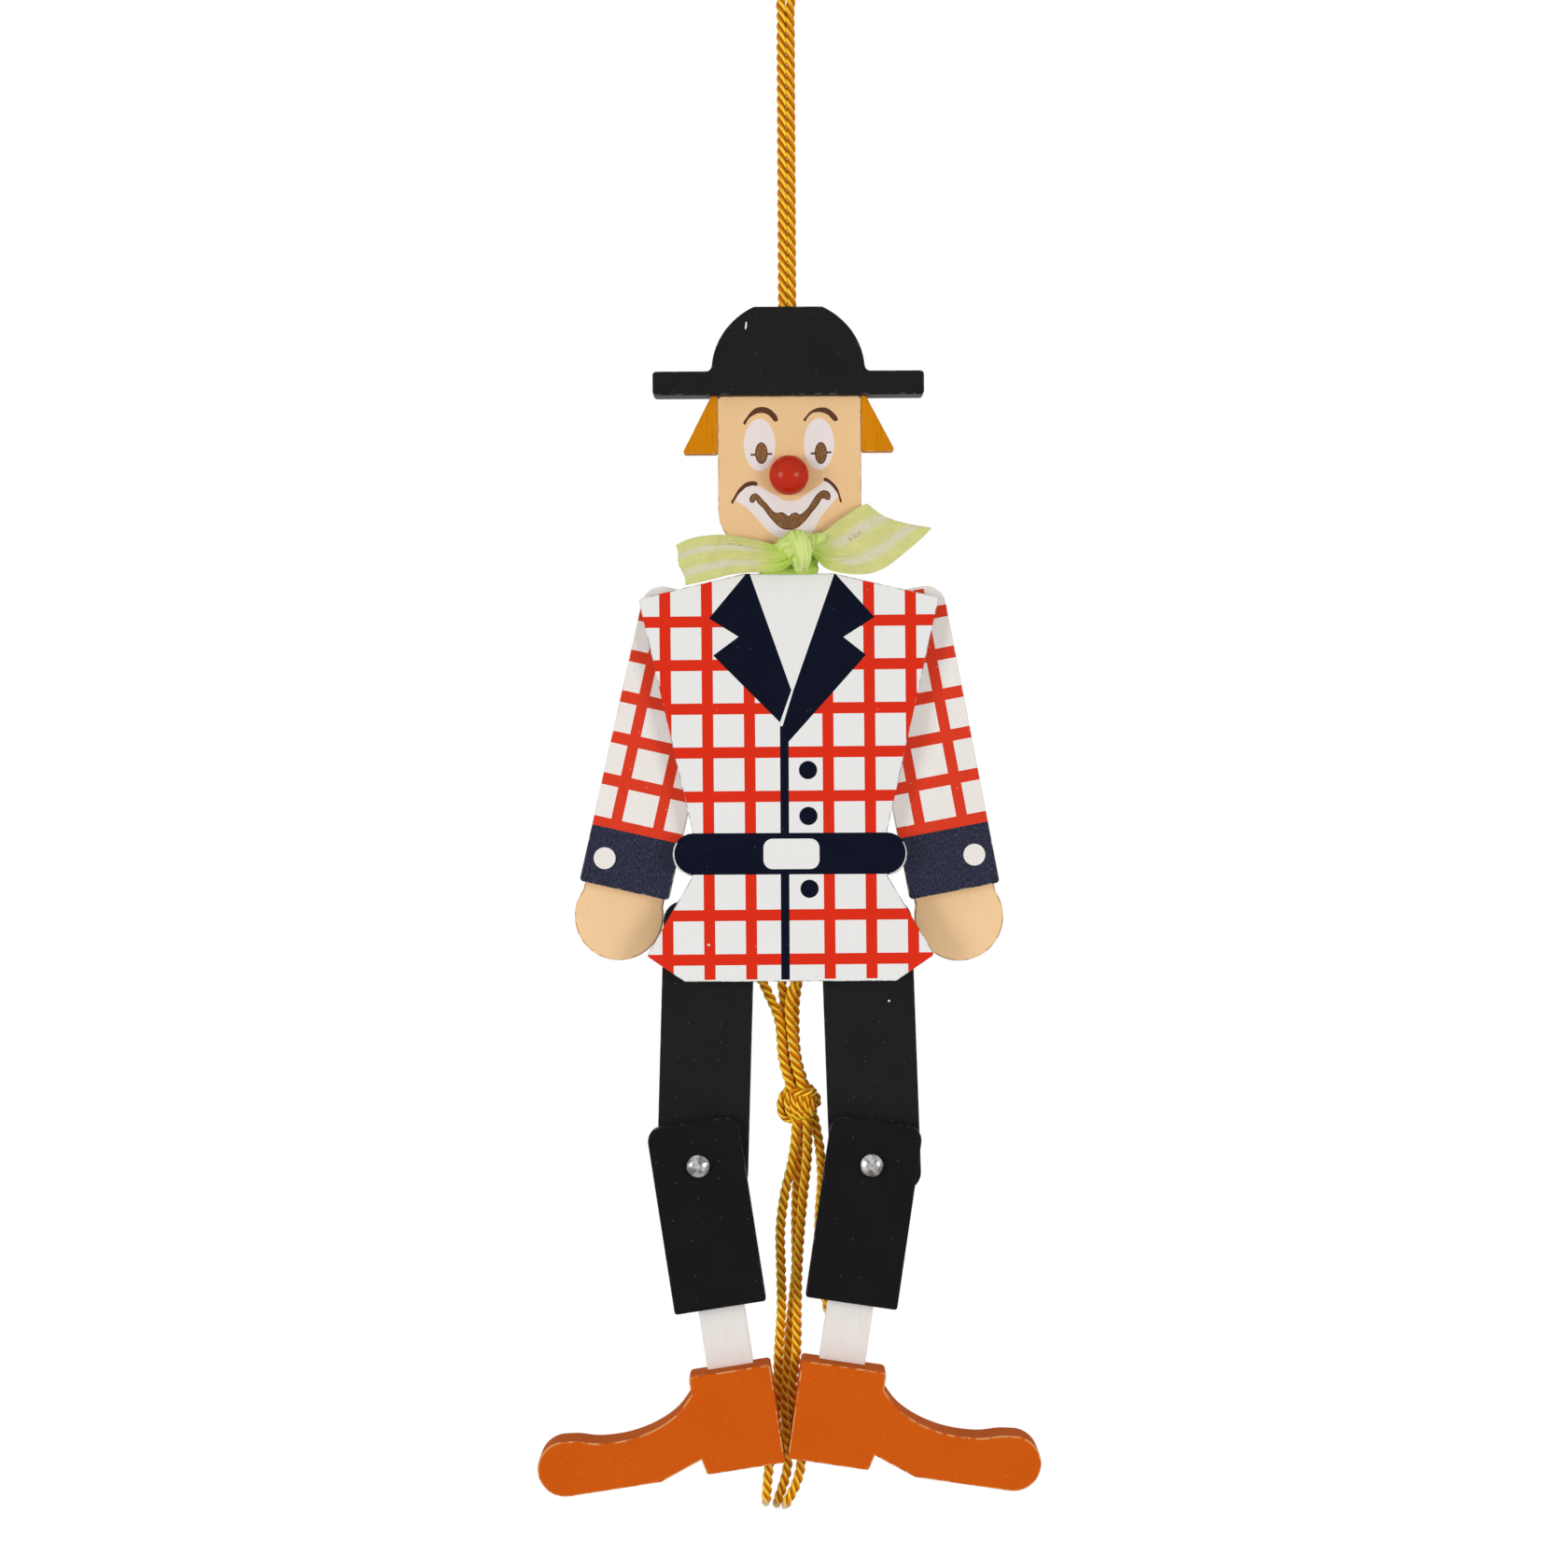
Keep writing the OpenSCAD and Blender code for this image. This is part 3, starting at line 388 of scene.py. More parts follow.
@dataclass(frozen=True)
class Steel:
    """Polished steel with fine scratches, and dark and pale patches painted into its colour as reflections of
    its surroundings.
    """

    colour: Colour
    roughness: float = 0.22

    # Patches of painted reflection and scratches a metre, the scratches' stretch, and their depth in metres
    TARNISH = 500
    SCRATCHES = 1800
    SCRATCH_RUN = (1, 1, 6)
    SCRATCH_DEPTH = 0.006 * MM

    def material(self, name: str) -> bpy.types.Material:
        """Build the steel's material.

        Args:
            name: the material's name.

        Returns:
            The material.
        """
        shader = Shader(name)
        place = shader.place()
        broad = shader.noise(place, self.TARNISH, 3)
        scratch = shader.noise(shader.stretched(place, self.SCRATCH_RUN), self.SCRATCHES, 3)
        # Dark and pale patches painted into the colour: painted reflection
        tone = shader.blend(shader.step(broad, 0.36, 0.6), shade(self.colour, 0.4), shade(self.colour, 1.3))
        shader.feed({
            "Base Color": tone,
            "Metallic": 1.0,
            "Roughness": scratch * 0.16 + (self.roughness - 0.06),
            "Normal": shader.relief(scratch, self.SCRATCH_DEPTH),
        })
        return shader.material


@dataclass(frozen=True)
class Yarn:
    """Shiny twisted yarn: amber strands, with a painted highlight along one flank, painted shade on the other
    and painted shade where the strands meet.
    """

    bright: Colour
    middle: Colour
    deep: Colour
    frayed: Colour = linear(214, 196, 150)

    # Fibres along and across the cord, broad patches a metre, and the fibres' depth in metres
    FIBRE_RUN = (0.28, 6.5, 1)
    PATCHES = 260
    FIBRE_DEPTH = 0.16 * MM

    def material(self, name: str) -> bpy.types.Material:
        """Build the yarn's material.

        Args:
            name: the material's name.

        Returns:
            The material.
        """
        shader = Shader(name)
        fibres = shader.noise(shader.stretched(shader.laid(), self.FIBRE_RUN), 1.0, 3)
        patches = shader.noise(shader.place(), self.PATCHES, 2)
        flank = shader.mark("flank")
        # One flank of each strand turns darker amber: painted shade
        away = shader.step(flank + patches * 0.5, 0.2, 0.95)
        tone = shader.blend(away, self.middle, shade(self.middle, 0.8))
        # Glints along the other flank and along some fibres take the painted highlight colour
        tone = shader.blend(shader.step(fibres * 0.9 - flank, 0.2, 0.75), tone, self.bright)
        tone = shader.blend(shader.step(fibres, 0.6, 0.78) * 0.7, tone, self.bright)
        # Where the strands meet, the deep colour goes in: painted shade
        tone = shader.blend(shader.step(shader.mark("crevice"), 0.78, 1.0), tone, self.deep)
        tone = shader.blend(shader.mark("tip"), tone, self.frayed)
        shader.feed({
            "Base Color": tone,
            "Roughness": fibres * 0.2 + 0.34,
            "Specular IOR Level": 0.1,
            "Normal": shader.relief(fibres, self.FIBRE_DEPTH),
        })
        return shader.material


@dataclass(frozen=True)
class Sheer:
    """Thin woven ribbon with two pale stripes along it."""

    colour: Colour
    # Green of gathered cloth, also painted into crease valleys as shade
    gathered: Colour
    stripe: Colour
    cover: float = 0.86
    stripes: tuple[float, ...] = (0.3, 0.72)
    stripe_reach: float = 1.7 * 0.085
    snagged: Colour = linear(170, 128, 62)

    # Patches a metre, threads, weave and pulled threads along and across, and the threads' depth in metres
    PATCHES = 240
    THREAD_RUN = (0.5, 5, 1)
    WEAVE_RUN = (6, 6, 1)
    PULLED_RUN = (1.6, 4.5, 1)
    THREAD_DEPTH = 0.2 * MM

    def material(self, name: str) -> bpy.types.Material:
        """Build the ribbon's material.

        Args:
            name: the material's name.

        Returns:
            The material.
        """
        shader = Shader(name)
        gather = shader.mark("gather")
        patches = shader.noise(shader.place(), self.PATCHES, 3)
        threads, weave, pulled = (
            shader.noise(shader.stretched(shader.laid(), run), 1.0, detail)
            for run, detail in ((self.THREAD_RUN, 2), (self.WEAVE_RUN, 1), (self.PULLED_RUN, 3))
        )
        tone = shader.blend(shader.step(patches, 0.35, 0.7), self.colour, shade(self.colour, 1.08))
        wavy = shader.mark("across") + patches * 0.12 - 0.06
        for middle in self.stripes:
            low = shader.step(wavy, middle - self.stripe_reach, middle)
            high = shader.step(wavy, middle, middle + self.stripe_reach)
            share = (low - high) * shader.step(gather, 0.45, 0.0) * shader.step(patches, 0.2, 0.5)
            tone = shader.blend(share * 0.8, tone, self.stripe)
        # Gathered cloth and the valleys of creases take the gathered green; in the valleys it is painted
        # shade
        creased = shader.step(gather + shader.mark("pleat") * 0.25, 0.15, 1.0)
        tone = shader.blend(creased, tone, self.gathered)
        tone = shader.blend(shader.step(threads, 0.5, 0.75) * 0.4, tone, shade(self.colour, 0.7))
        snag = shader.step(pulled, 0.5, 0.56) * shader.mark("snag")
        tone = shader.blend(snag * 0.8, tone, self.snagged)
        shader.feed({
            "Base Color": tone,
            "Roughness": patches * 0.15 + 0.45,
            "Specular IOR Level": 0.12,
            "Alpha": weave * 0.12 + gather * 0.1 + (self.cover - 0.06),
            "Normal": shader.relief(threads * 0.7 + weave * 0.3, self.THREAD_DEPTH),
        })
        return shader.material


RED = linear(219, 42, 14)
NAVY = linear(11, 16, 32)
WHITE = linear(234, 233, 231)
CREAM = linear(237, 231, 226)
BROWN = linear(118, 80, 46)
BLACK = linear(29, 29, 29)
SKIN = linear(235, 195, 144)
GREY_SPECK = linear(90, 90, 90)


class Palette:
    """Every finish by name, made into a material when a piece first asks for it."""

    def __init__(self) -> None:
        """List the finishes."""
        self.finishes: dict[str, Paint | Stain | Steel | Yarn | Sheer] = {
            # The white coat's grey on its rounded edges is painted shade
            "coat_white": Paint(WHITE, speck_share=0.0, mottle=0.008, grain=0.006, worn=linear(150, 146, 140),
                                wear=0.6),
            "shirt_white": Paint(WHITE, speck_share=0.0, mottle=0.008, grain=0.006),
            "coat_red": Paint(RED, speck_share=0.0, mottle=0.025, grain=0.01, wear=0.25,
                              worn=linear(235, 170, 150)),
            "coat_navy": Paint(NAVY, speck=linear(80, 84, 100), wear=0.15, gloss=0.04, grain=0.01),
            "coat_side": Paint(linear(205, 200, 192), mottle=0.04, grain=0.06),
            "coat_back": Paint(WHITE, mottle=0.02, grain=0.04),
            "sleeve_cream": Paint(CREAM, mottle=0.02, grain=0.015, speck_share=0.1,
                                  speck=linear(160, 150, 140)),
            "sleeve_red": Paint(linear(219, 57, 30), mottle=0.03, grain=0.04, speck_share=0.3,
                                speck=linear(235, 200, 185)),
            "cuff_navy": Paint(linear(35, 38, 56), mottle=0.06, grain=0.12, grain_depth=0.05, speck_share=0.3,
                               speck=linear(84, 84, 106), gloss=0.08, flecks=0.55),
            "cuff_button": Paint(linear(236, 231, 225), mottle=0.02, speck_share=0.0),
            "sleeve_side": Paint(linear(190, 183, 175), mottle=0.05, grain=0.06),
            "jet": Paint(BLACK, speck=GREY_SPECK, mottle=0.1, grain=0.06, grain_depth=0.03, wear=0.35,
                         worn=linear(84, 84, 84), gloss=0.05, roughness=0.6),
            "jet_side": Paint(linear(34, 34, 34), speck=GREY_SPECK, mottle=0.2, grain=0.1, gloss=0.1,
                              worn=linear(90, 90, 90)),
            "jet_deep": Paint(linear(20, 20, 20), speck=GREY_SPECK, mottle=0.1, grain=0.06, grain_depth=0.03,
                              worn=linear(70, 70, 70), gloss=0.05, roughness=0.6),
            "chip": Paint(linear(232, 230, 224)),
            # Head and hand paint turn darker brown on their rounded edges
            "skin": Paint(SKIN, mottle=0.035, grain=0.015, speck_share=0.12, speck=linear(205, 160, 115),
                          wear=0.4, worn=linear(196, 140, 84)),
            "hand_skin": Paint(linear(243, 204, 156), mottle=0.03, grain=0.015, speck_share=0.12,
                               speck=linear(205, 160, 115), wear=0.6, worn=linear(190, 130, 75)),
            "skin_side": Paint(linear(205, 155, 100), mottle=0.06, grain=0.06),
            "face_white": Paint(linear(233, 222, 219), mottle=0.015, grain=0.01, speck_share=0.1,
                                speck=linear(215, 190, 180)),
            "face_brown": Paint(BROWN, mottle=0.16, grain=0.1, speck_share=0.5, speck=linear(170, 130, 90),
                                flecks=0.55),
            "face_dark": Paint(linear(84, 50, 34), mottle=0.1, grain=0.1, speck_share=0.3,
                               speck=linear(140, 100, 70), flecks=0.2),
            "hair_orange": Paint(linear(210, 130, 4), mottle=0.08, grain=0.12, grain_depth=0.05,
                                 worn=linear(235, 190, 130), speck=linear(170, 95, 20), gloss=0.06),
            "hair_side": Paint(linear(190, 120, 60), mottle=0.1, grain=0.1, gloss=0.06),
            "nose_red": Paint(linear(189, 36, 0), roughness=0.3, gloss=0.0, mottle=0.03, grain=0.0,
                              speck_share=0.0, coat=0.4, grain_depth=0.005),
            "sock_white": Paint(linear(238, 233, 228), mottle=0.02, grain=0.03, speck_share=0.0, wear=0.2,
                                worn=linear(200, 190, 180)),
            "shoe_orange": Paint(linear(205, 88, 10), mottle=0.04, grain=0.012, speck_share=0.3, gloss=0.06,
                                 speck=linear(225, 140, 85), wear=0.6, worn=linear(226, 160, 100)),
            "shoe_side": Paint(linear(196, 98, 48), mottle=0.08, grain=0.08, speck_share=0.4, gloss=0.0,
                               speck=linear(205, 150, 115), wear=0.5, worn=linear(215, 155, 100)),
            "dark_wood": Stain(linear(40, 34, 28)),
            "steel": Steel((0.42, 0.41, 0.4, 1.0)),
            # Gold yarn colours: painted highlight, amber, and painted shade between strands
            "gold_yarn": Yarn(linear(255, 217, 56), linear(226, 138, 0), linear(176, 84, 0)),
            # Ribbon greens: plain, gathered, which also stands for painted shade in creases, and the pale
            # stripe
            "green_sheer": Sheer(linear(219, 219, 140), linear(198, 226, 98), linear(230, 224, 206)),
            "green_knot": Sheer(linear(220, 234, 146), linear(180, 214, 82), linear(222, 236, 170), cover=1.0,
                                stripes=()),
        }
        self.made: dict[str, bpy.types.Material] = {}

    def __getitem__(self, name: str) -> bpy.types.Material:
        """The material of one finish.

        Args:
            name: the finish's name.

        Returns:
            Its material, the same one each time.
        """
        if name not in self.made:
            self.made[name] = self.finishes[name].material(name)
        return self.made[name]


# Meshes


class Draft:
    """A mesh in the making, in millimetres: points, faces, finishes and shading."""

    def __init__(self, name: str) -> None:
        """Start an empty mesh for a piece.

        Args:
            name: the piece's name.
        """
        self.name = name
        self.points: list[Vector] = []
        self.faces: list[list[int]] = []
        self.finishes: list[str] = []
        self.shading: list[Vector] = []
        self.laid: list[Point] = []
        self.marks: dict[str, dict[int, float]] = {}

    def point(self, at: Vector | Place, **marks: float) -> int:
        """Add a point.

        Args:
            at: its place.
            marks: the numbers that it carries, by name.

        Returns:
            Its index in the mesh.
        """
        self.points.append(Vector(at))
        for name, number in marks.items():
            self.marks.setdefault(name, {})[len(self.points) - 1] = number
        return len(self.points) - 1

    def face(self, corners: Sequence[int], finish: str, shading: Sequence[Vector] = (),
             laid: Sequence[Point] = ()) -> None:
        """Add a face.

        Args:
            corners: its points, turning left when seen from outside.
            finish: name of its finish.
            shading: a normal for each corner, where the mesh sets its own.
            laid: a place along and across for each corner, where the finish needs it.
        """
        self.faces.append(list(corners))
        self.finishes.append(finish)
        self.shading.extend(shading)
        self.laid.extend(laid)

    def piece(self, palette: Palette, body: str, replaced: Sequence[str] = ()) -> bpy.types.Object:
        """Make the object, let it ride on its body and stand for its nodes.

        Args:
            palette: where the finishes come from.
            body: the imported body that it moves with.
            replaced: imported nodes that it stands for.

        Returns:
            The finished object.
        """
        mesh = bpy.data.meshes.new(self.name)
        mesh.from_pydata([p * MM for p in self.points], [], self.faces)
        names = list(dict.fromkeys(self.finishes))
        for name in names:
            mesh.materials.append(palette[name])
        mesh.polygons.foreach_set("material_index", [names.index(f) for f in self.finishes])
        mesh.shade_smooth()
        for name, numbers in self.marks.items():
            layer = mesh.attributes.new(name, "FLOAT", "POINT")
            layer.data.foreach_set("value", [numbers.get(i, 0.0) for i in range(len(self.points))])
        if self.laid:
            mesh.uv_layers.new(name="laid").uv.foreach_set("vector", [c for pair in self.laid for c in pair])
        if self.shading:
            mesh.normals_split_custom_set(self.shading)
        mesh.update()
        made = bpy.data.objects.new(self.name, mesh)
        bpy.context.scene.collection.objects.link(made)
        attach(made, body)
        if replaced:
            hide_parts(*replaced)
        LOG.info("%s: %d faces on %s", self.name, len(self.faces), body)
        return made


def smooth_loop(points: Outline, steps: int = 5) -> list[Point]:
    """Round a closed contour through its points.

    Args:
        points: the contour's points.
        steps: new points for each old one.

    Returns:
        The smooth contour.
    """
    count = len(points)
    made = []
    for i in range(count):
        a, b, c, d = (Vector(points[(i + k) % count]) for k in (-1, 0, 1, 2))
        for k in range(steps):
            t = k / steps
            p = 2 * b + (c - a) * t + (2 * a - 5 * b + 4 * c - d) * t**2
            p = 0.5 * (p + (3 * b - a - 3 * c + d) * t**3)
            made.append((p.x, p.y))
    return made


def ellipse(x: float, z: float, half_w: float, half_h: float, count: int = 44) -> list[Point]:
    """Contour of an ellipse about (x, z)."""
    turns = [2 * math.pi * k / count for k in range(count)]
    return [(x + half_w * math.cos(t), z + half_h * math.sin(t)) for t in turns]


def oblong(low: Point, high: Point, round_by: float = 0.0, count: int = 8) -> list[Point]:
    """Contour of a rectangle whose corners may be rounded.

    Args:
        low: its lower left corner.
        high: its upper right corner.
        round_by: radius of the corners.
        count: steps of each rounded corner.

    Returns:
        The contour.
    """
    if not round_by:
        return [low, (high[0], low[1]), high, (low[0], high[1])]
    made = []
    middles = [(high[0] - round_by, high[1] - round_by), (low[0] + round_by, high[1] - round_by),
               (low[0] + round_by, low[1] + round_by), (high[0] - round_by, low[1] + round_by)]
    for quarter, (x, z) in enumerate(middles):
        for k in range(count + 1):
            t = math.pi / 2 * (quarter + k / count)
            made.append((x + round_by * math.cos(t), z + round_by * math.sin(t)))
    return made


def band(start: Point, end: Point, width: float) -> list[Point]:
    """Contour of a straight line of paint.

    Args:
        start: one end.
        end: the other end.
        width: its width.

    Returns:
        The contour, turning left.
    """
    a, b = Vector(start), Vector(end)
    off = (b - a).orthogonal().normalized() * width / 2
    return [tuple(a - off), tuple(b - off), tuple(b + off), tuple(a + off)]


def inside(spot: Vector, loop: Outline) -> bool:
    """Tell whether a spot lies inside a contour.

    Args:
        spot: the spot.
        loop: the contour's points.

    Returns:
        True where it lies inside.
    """
    found = False
    x, z = spot
    for (x0, z0), (x1, z1) in zip(loop, [*loop[1:], loop[0]]):
        if (z0 > z) != (z1 > z) and x < (x1 - x0) * (z - z0) / (z1 - z0) + x0:
            found = not found
    return found


def signed_area(loop: Outline) -> float:
    """Area of a contour, above 0 where it turns left."""
    return sum(a[0] * b[1] - b[0] * a[1] for a, b in zip(loop, [*loop[1:], loop[0]])) / 2


def drawn_in(loop: Outline, by: float) -> list[Point]:
    """Move a contour inwards.

    Args:
        loop: the contour, turning left.
        by: how far, and outwards where it is below 0.

    Returns:
        The moved contour, with its sharpest points held back.
    """
    least = 0.6
    made = []
    for before, here, after in zip([loop[-1], *loop[:-1]], loop, [*loop[1:], loop[0]]):
        first = (Vector(here) - Vector(before)).normalized()
        second = (Vector(after) - Vector(here)).normalized()
        left = Vector((-first.y, first.x)) + Vector((-second.y, second.x))
        made.append(tuple(Vector(here) + left * by * 2 / max(left.length_squared, least)))
    return made


@dataclass
class Board:
    """A flat board with its paint as separate faces and softly rounded edges."""

    node: str
    body: str
    slot: str
    ground: str
    side: str
    back: str
    regions: list[Region] = field(default_factory=list)
    rounding: float = 0.35
    round_steps: int = 3
    smooth_under: float = 35.0

    def _loops(self) -> tuple[list[list[Point]], float, float]:
        """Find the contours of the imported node's front.

        Returns:
            The contours, the front's depth and the back's depth, all in millimetres.
        """
        mesh = frame["nodes"][self.node].data
        depths = [v.co.y for v in mesh.vertices]
        near, far = min(depths), max(depths)
        edges: set[tuple[tuple[int, ...], tuple[int, ...]]] = set()
        for polygon in mesh.polygons:
            spots = [mesh.vertices[i].co for i in polygon.vertices]
            if any(spot.y - near > 1 / MICRONS for spot in spots):
                continue
            keys = [tuple(round(c * MICRONS) for c in (spot.x, spot.z)) for spot in spots]
            for edge in zip(keys, [*keys[1:], keys[0]]):
                if edge[::-1] in edges:
                    edges.remove(edge[::-1])
                else:
                    edges.add(edge)
        following = dict(sorted(edges))
        loops = []
        while following:
            start = next(iter(following))
            loop, here = [], start
            while here in following:
                loop.append((here[0] / (MICRONS * MM), here[1] / (MICRONS * MM)))
                here = following.pop(here)
            loops.append(loop)
        return loops, near / MM, far / MM

    def build(self, palette: Palette) -> bpy.types.Object:
        """Build the board in place of its node.

        Args:
            palette: where the finishes come from.

        Returns:
            The board.
        """
        loops, near, far = self._loops()
        shrunk = [drawn_in(loop, self.rounding) if signed_area(loop) > 0 else loop for loop in loops]
        corners: list[Vector] = []
        edges: list[tuple[int, int]] = []
        for loop in [*shrunk, *(contour for _, contour in self.regions)]:
            first, count = len(corners), len(loop)
            corners.extend(Vector(p) for p in loop)
            edges.extend((first + i, first + (i + 1) % count) for i in range(count))
        flat, _, triangles, *_ = delaunay_2d_cdt(corners, edges, [], 0, ONE_CORNER)
        draft = Draft(self.node + "_painted")
        kept: list[tuple[list[int], str]] = []
        for triangle in triangles:
            a, b, c = (flat[i] for i in triangle)
            middle = (a + b + c) / 3
            if sum(inside(middle, loop) for loop in shrunk) % 2 == 0:
                continue
            order = triangle if (b - a).cross(c - a) > 0 else triangle[::-1]
            over = (name for name, contour in reversed(self.regions) if inside(middle, contour))
            kept.append((list(order), next(over, self.ground)))
        used = sorted({i for triangle, _ in kept for i in triangle})
        fronts = {i: draft.point((flat[i].x, near, flat[i].y)) for i in used}
        backs = {i: draft.point((flat[i].x, far, flat[i].y)) for i in used}
        toward, away = Vector((0, -1, 0)), Vector((0, 1, 0))
        rims: dict[tuple[int, int], str] = {}
        for triangle, finish in kept:
            draft.face([fronts[i] for i in triangle], finish, [toward] * 3)
            draft.face([backs[i] for i in reversed(triangle)], self.back, [away] * 3)
            for edge in zip(triangle, [*triangle[1:], triangle[0]]):
                if edge[::-1] in rims:
                    del rims[edge[::-1]]
                else:
                    rims[edge] = finish
        self._wrap(draft, flat, rims, fronts, backs, list(zip(shrunk, loops)), near, far)
        return draft.piece(palette, self.body, [self.node])

    def _wrap(self, draft: Draft, flat: Sequence[Vector], rims: Mapping[tuple[int, int], str],
              fronts: Mapping[int, int], backs: Mapping[int, int],
              contours: Sequence[tuple[Outline, Outline]], near: float, far: float) -> None:
        """Close the board round its edge, with rounded edges outside and plain walls in its holes.

        Args:
            draft: the mesh to add to.
            flat: points of the painted face.
            rims: edges of the face, each with the finish beside it.
            fronts: mesh index of each point in front.
            backs: mesh index of each point behind.
            contours: each contour as drawn in, and as the node has it.
            near: depth of the front.
            far: depth of the back.
        """
        before = {b: a for a, b in rims}
        outward = {}
        for a, b in rims:
            along = (flat[b] - flat[a]).normalized()
            outward[a] = Vector((along.y, 0, -along.x))
        outer = {a: self._outer(flat[a], contours) for a, _ in rims}
        turns = [math.pi / 2 * k / self.round_steps for k in range(self.round_steps + 1)]
        columns: dict[int, list[int]] = {}
        for i, (edge, hollow) in outer.items():
            if hollow:
                columns[i] = [fronts[i], backs[i]]
                continue
            levels = []
            for k, turn in enumerate(turns[1:], 1):
                spot = flat[i].lerp(edge, math.sin(turn))
                rise = self.rounding * (1 - math.cos(turn))
                levels.append((spot, rise, float(k < self.round_steps)))
            front = [draft.point((s.x, near + rise, s.y), edge=worn) for s, rise, worn in levels]
            back = [draft.point((s.x, far - rise, s.y), edge=worn) for s, rise, worn in reversed(levels)]
            columns[i] = [fronts[i], *front, *back, backs[i]]
        limit = math.cos(math.radians(self.smooth_under))
        for (a, b), finish in rims.items():
            own = outward[a]
            first = self._eased(outward[before[a]], own, limit)
            last = self._eased(outward[b], own, limit)
            left, right = columns[a], columns[b]
            if len(left) != len(right):
                continue
            rows = len(left)
            for j in range(rows - 1):
                normals = [self._tilted(last, j, rows, turns), self._tilted(first, j, rows, turns),
                           self._tilted(first, j + 1, rows, turns), self._tilted(last, j + 1, rows, turns)]
                name = self._finish_at(j, finish) if rows > 2 else self.side
                draft.face([right[j], left[j], left[j + 1], right[j + 1]], name, normals)

    def _finish_at(self, row: int, painted: str) -> str:
        """Choose the finish of one row of the edge.

        Args:
            row: the row, counted from the front.
            painted: finish of the front beside it.

        Returns:
            The front's finish on its rounding, then the side's, then the back's.
        """
        if row < self.round_steps:
            return painted
        return self.side if row == self.round_steps else self.back

    @staticmethod
    def _eased(first: Vector, second: Vector, limit: float) -> Vector:
        """Find the normal at the corner of two neighbouring walls.

        Args:
            first: normal of the neighbour.
            second: normal of the wall itself.
            limit: cosine of the sharpest turn that is shaded as round.

        Returns:
            The normal that both share, or the wall's own at a sharp corner.
        """
        if first.dot(second) > limit:
            return (first + second).normalized()
        return second

    @staticmethod
    def _tilted(wall: Vector, row: int, rows: int, turns: Sequence[float]) -> Vector:
        """Find the normal of one row of the rounded edge.

        Args:
            wall: normal of the wall between the roundings.
            row: the row, counted from the front.
            rows: how many rows there are.
            turns: how far each row of a rounding has turned away from the face.

        Returns:
            The row's normal.
        """
        if rows == 2:
            return wall
        turn = turns[min(row, rows - 1 - row)]
        face = -1 if row < rows / 2 else 1
        return wall * math.sin(turn) + Vector((0, face * math.cos(turn), 0))

    @staticmethod
    def _outer(spot: Vector, contours: Sequence[tuple[Outline, Outline]]) -> tuple[Vector, bool]:
        """Find where a rim point lies on the node's own contour.

        Args:
            spot: the rim point.
            contours: each contour as drawn in, and as the node has it.

        Returns:
            The place on the node's contour, and whether that contour is a hole.
        """
        best, found = math.inf, (spot, False)
        for shrunk, loop in contours:
            hollow = signed_area(loop) < 0
            for i in range(len(loop)):
                j = (i + 1) % len(loop)
                a, b = Vector(shrunk[i]), Vector(shrunk[j])
                run = b - a
                share = min(1.0, max(0.0, (spot - a).dot(run) / max(run.length_squared, NO_RUN)))
                gap = (a + run * share - spot).length
                if gap < best - NO_GAP:
                    best, found = gap, (Vector(loop[i]).lerp(Vector(loop[j]), share), hollow)
        return found


@dataclass
class Turned:
    """A round piece turned about an axis that points at the viewer."""

    name: str
    body: str
    slot: str
    finish: str
    centre: Point
    profile: Outline
    replaced: Sequence[str]
    count: int = 48

    def build(self, palette: Palette) -> bpy.types.Object:
        """Build the piece from its profile of (radius, depth) pairs, front first.

        Args:
            palette: where the finishes come from.

        Returns:
            The piece.
        """
        draft = Draft(self.name)
        x, z = self.centre
        rows: list[list[int]] = []
        for radius, depth in self.profile:
            if radius == 0:
                rows.append([draft.point((x, depth, z))] * self.count)
                continue
            circle = ellipse(x, z, radius, radius, self.count)
            rows.append([draft.point((at_x, depth, at_z)) for at_x, at_z in circle])
        for front, back in zip(rows, rows[1:]):
            for k in range(self.count):
                n = (k + 1) % self.count
                corners = list(dict.fromkeys([front[n], front[k], back[k], back[n]]))
                draft.face(corners, self.finish)
        return draft.piece(palette, self.body, self.replaced)


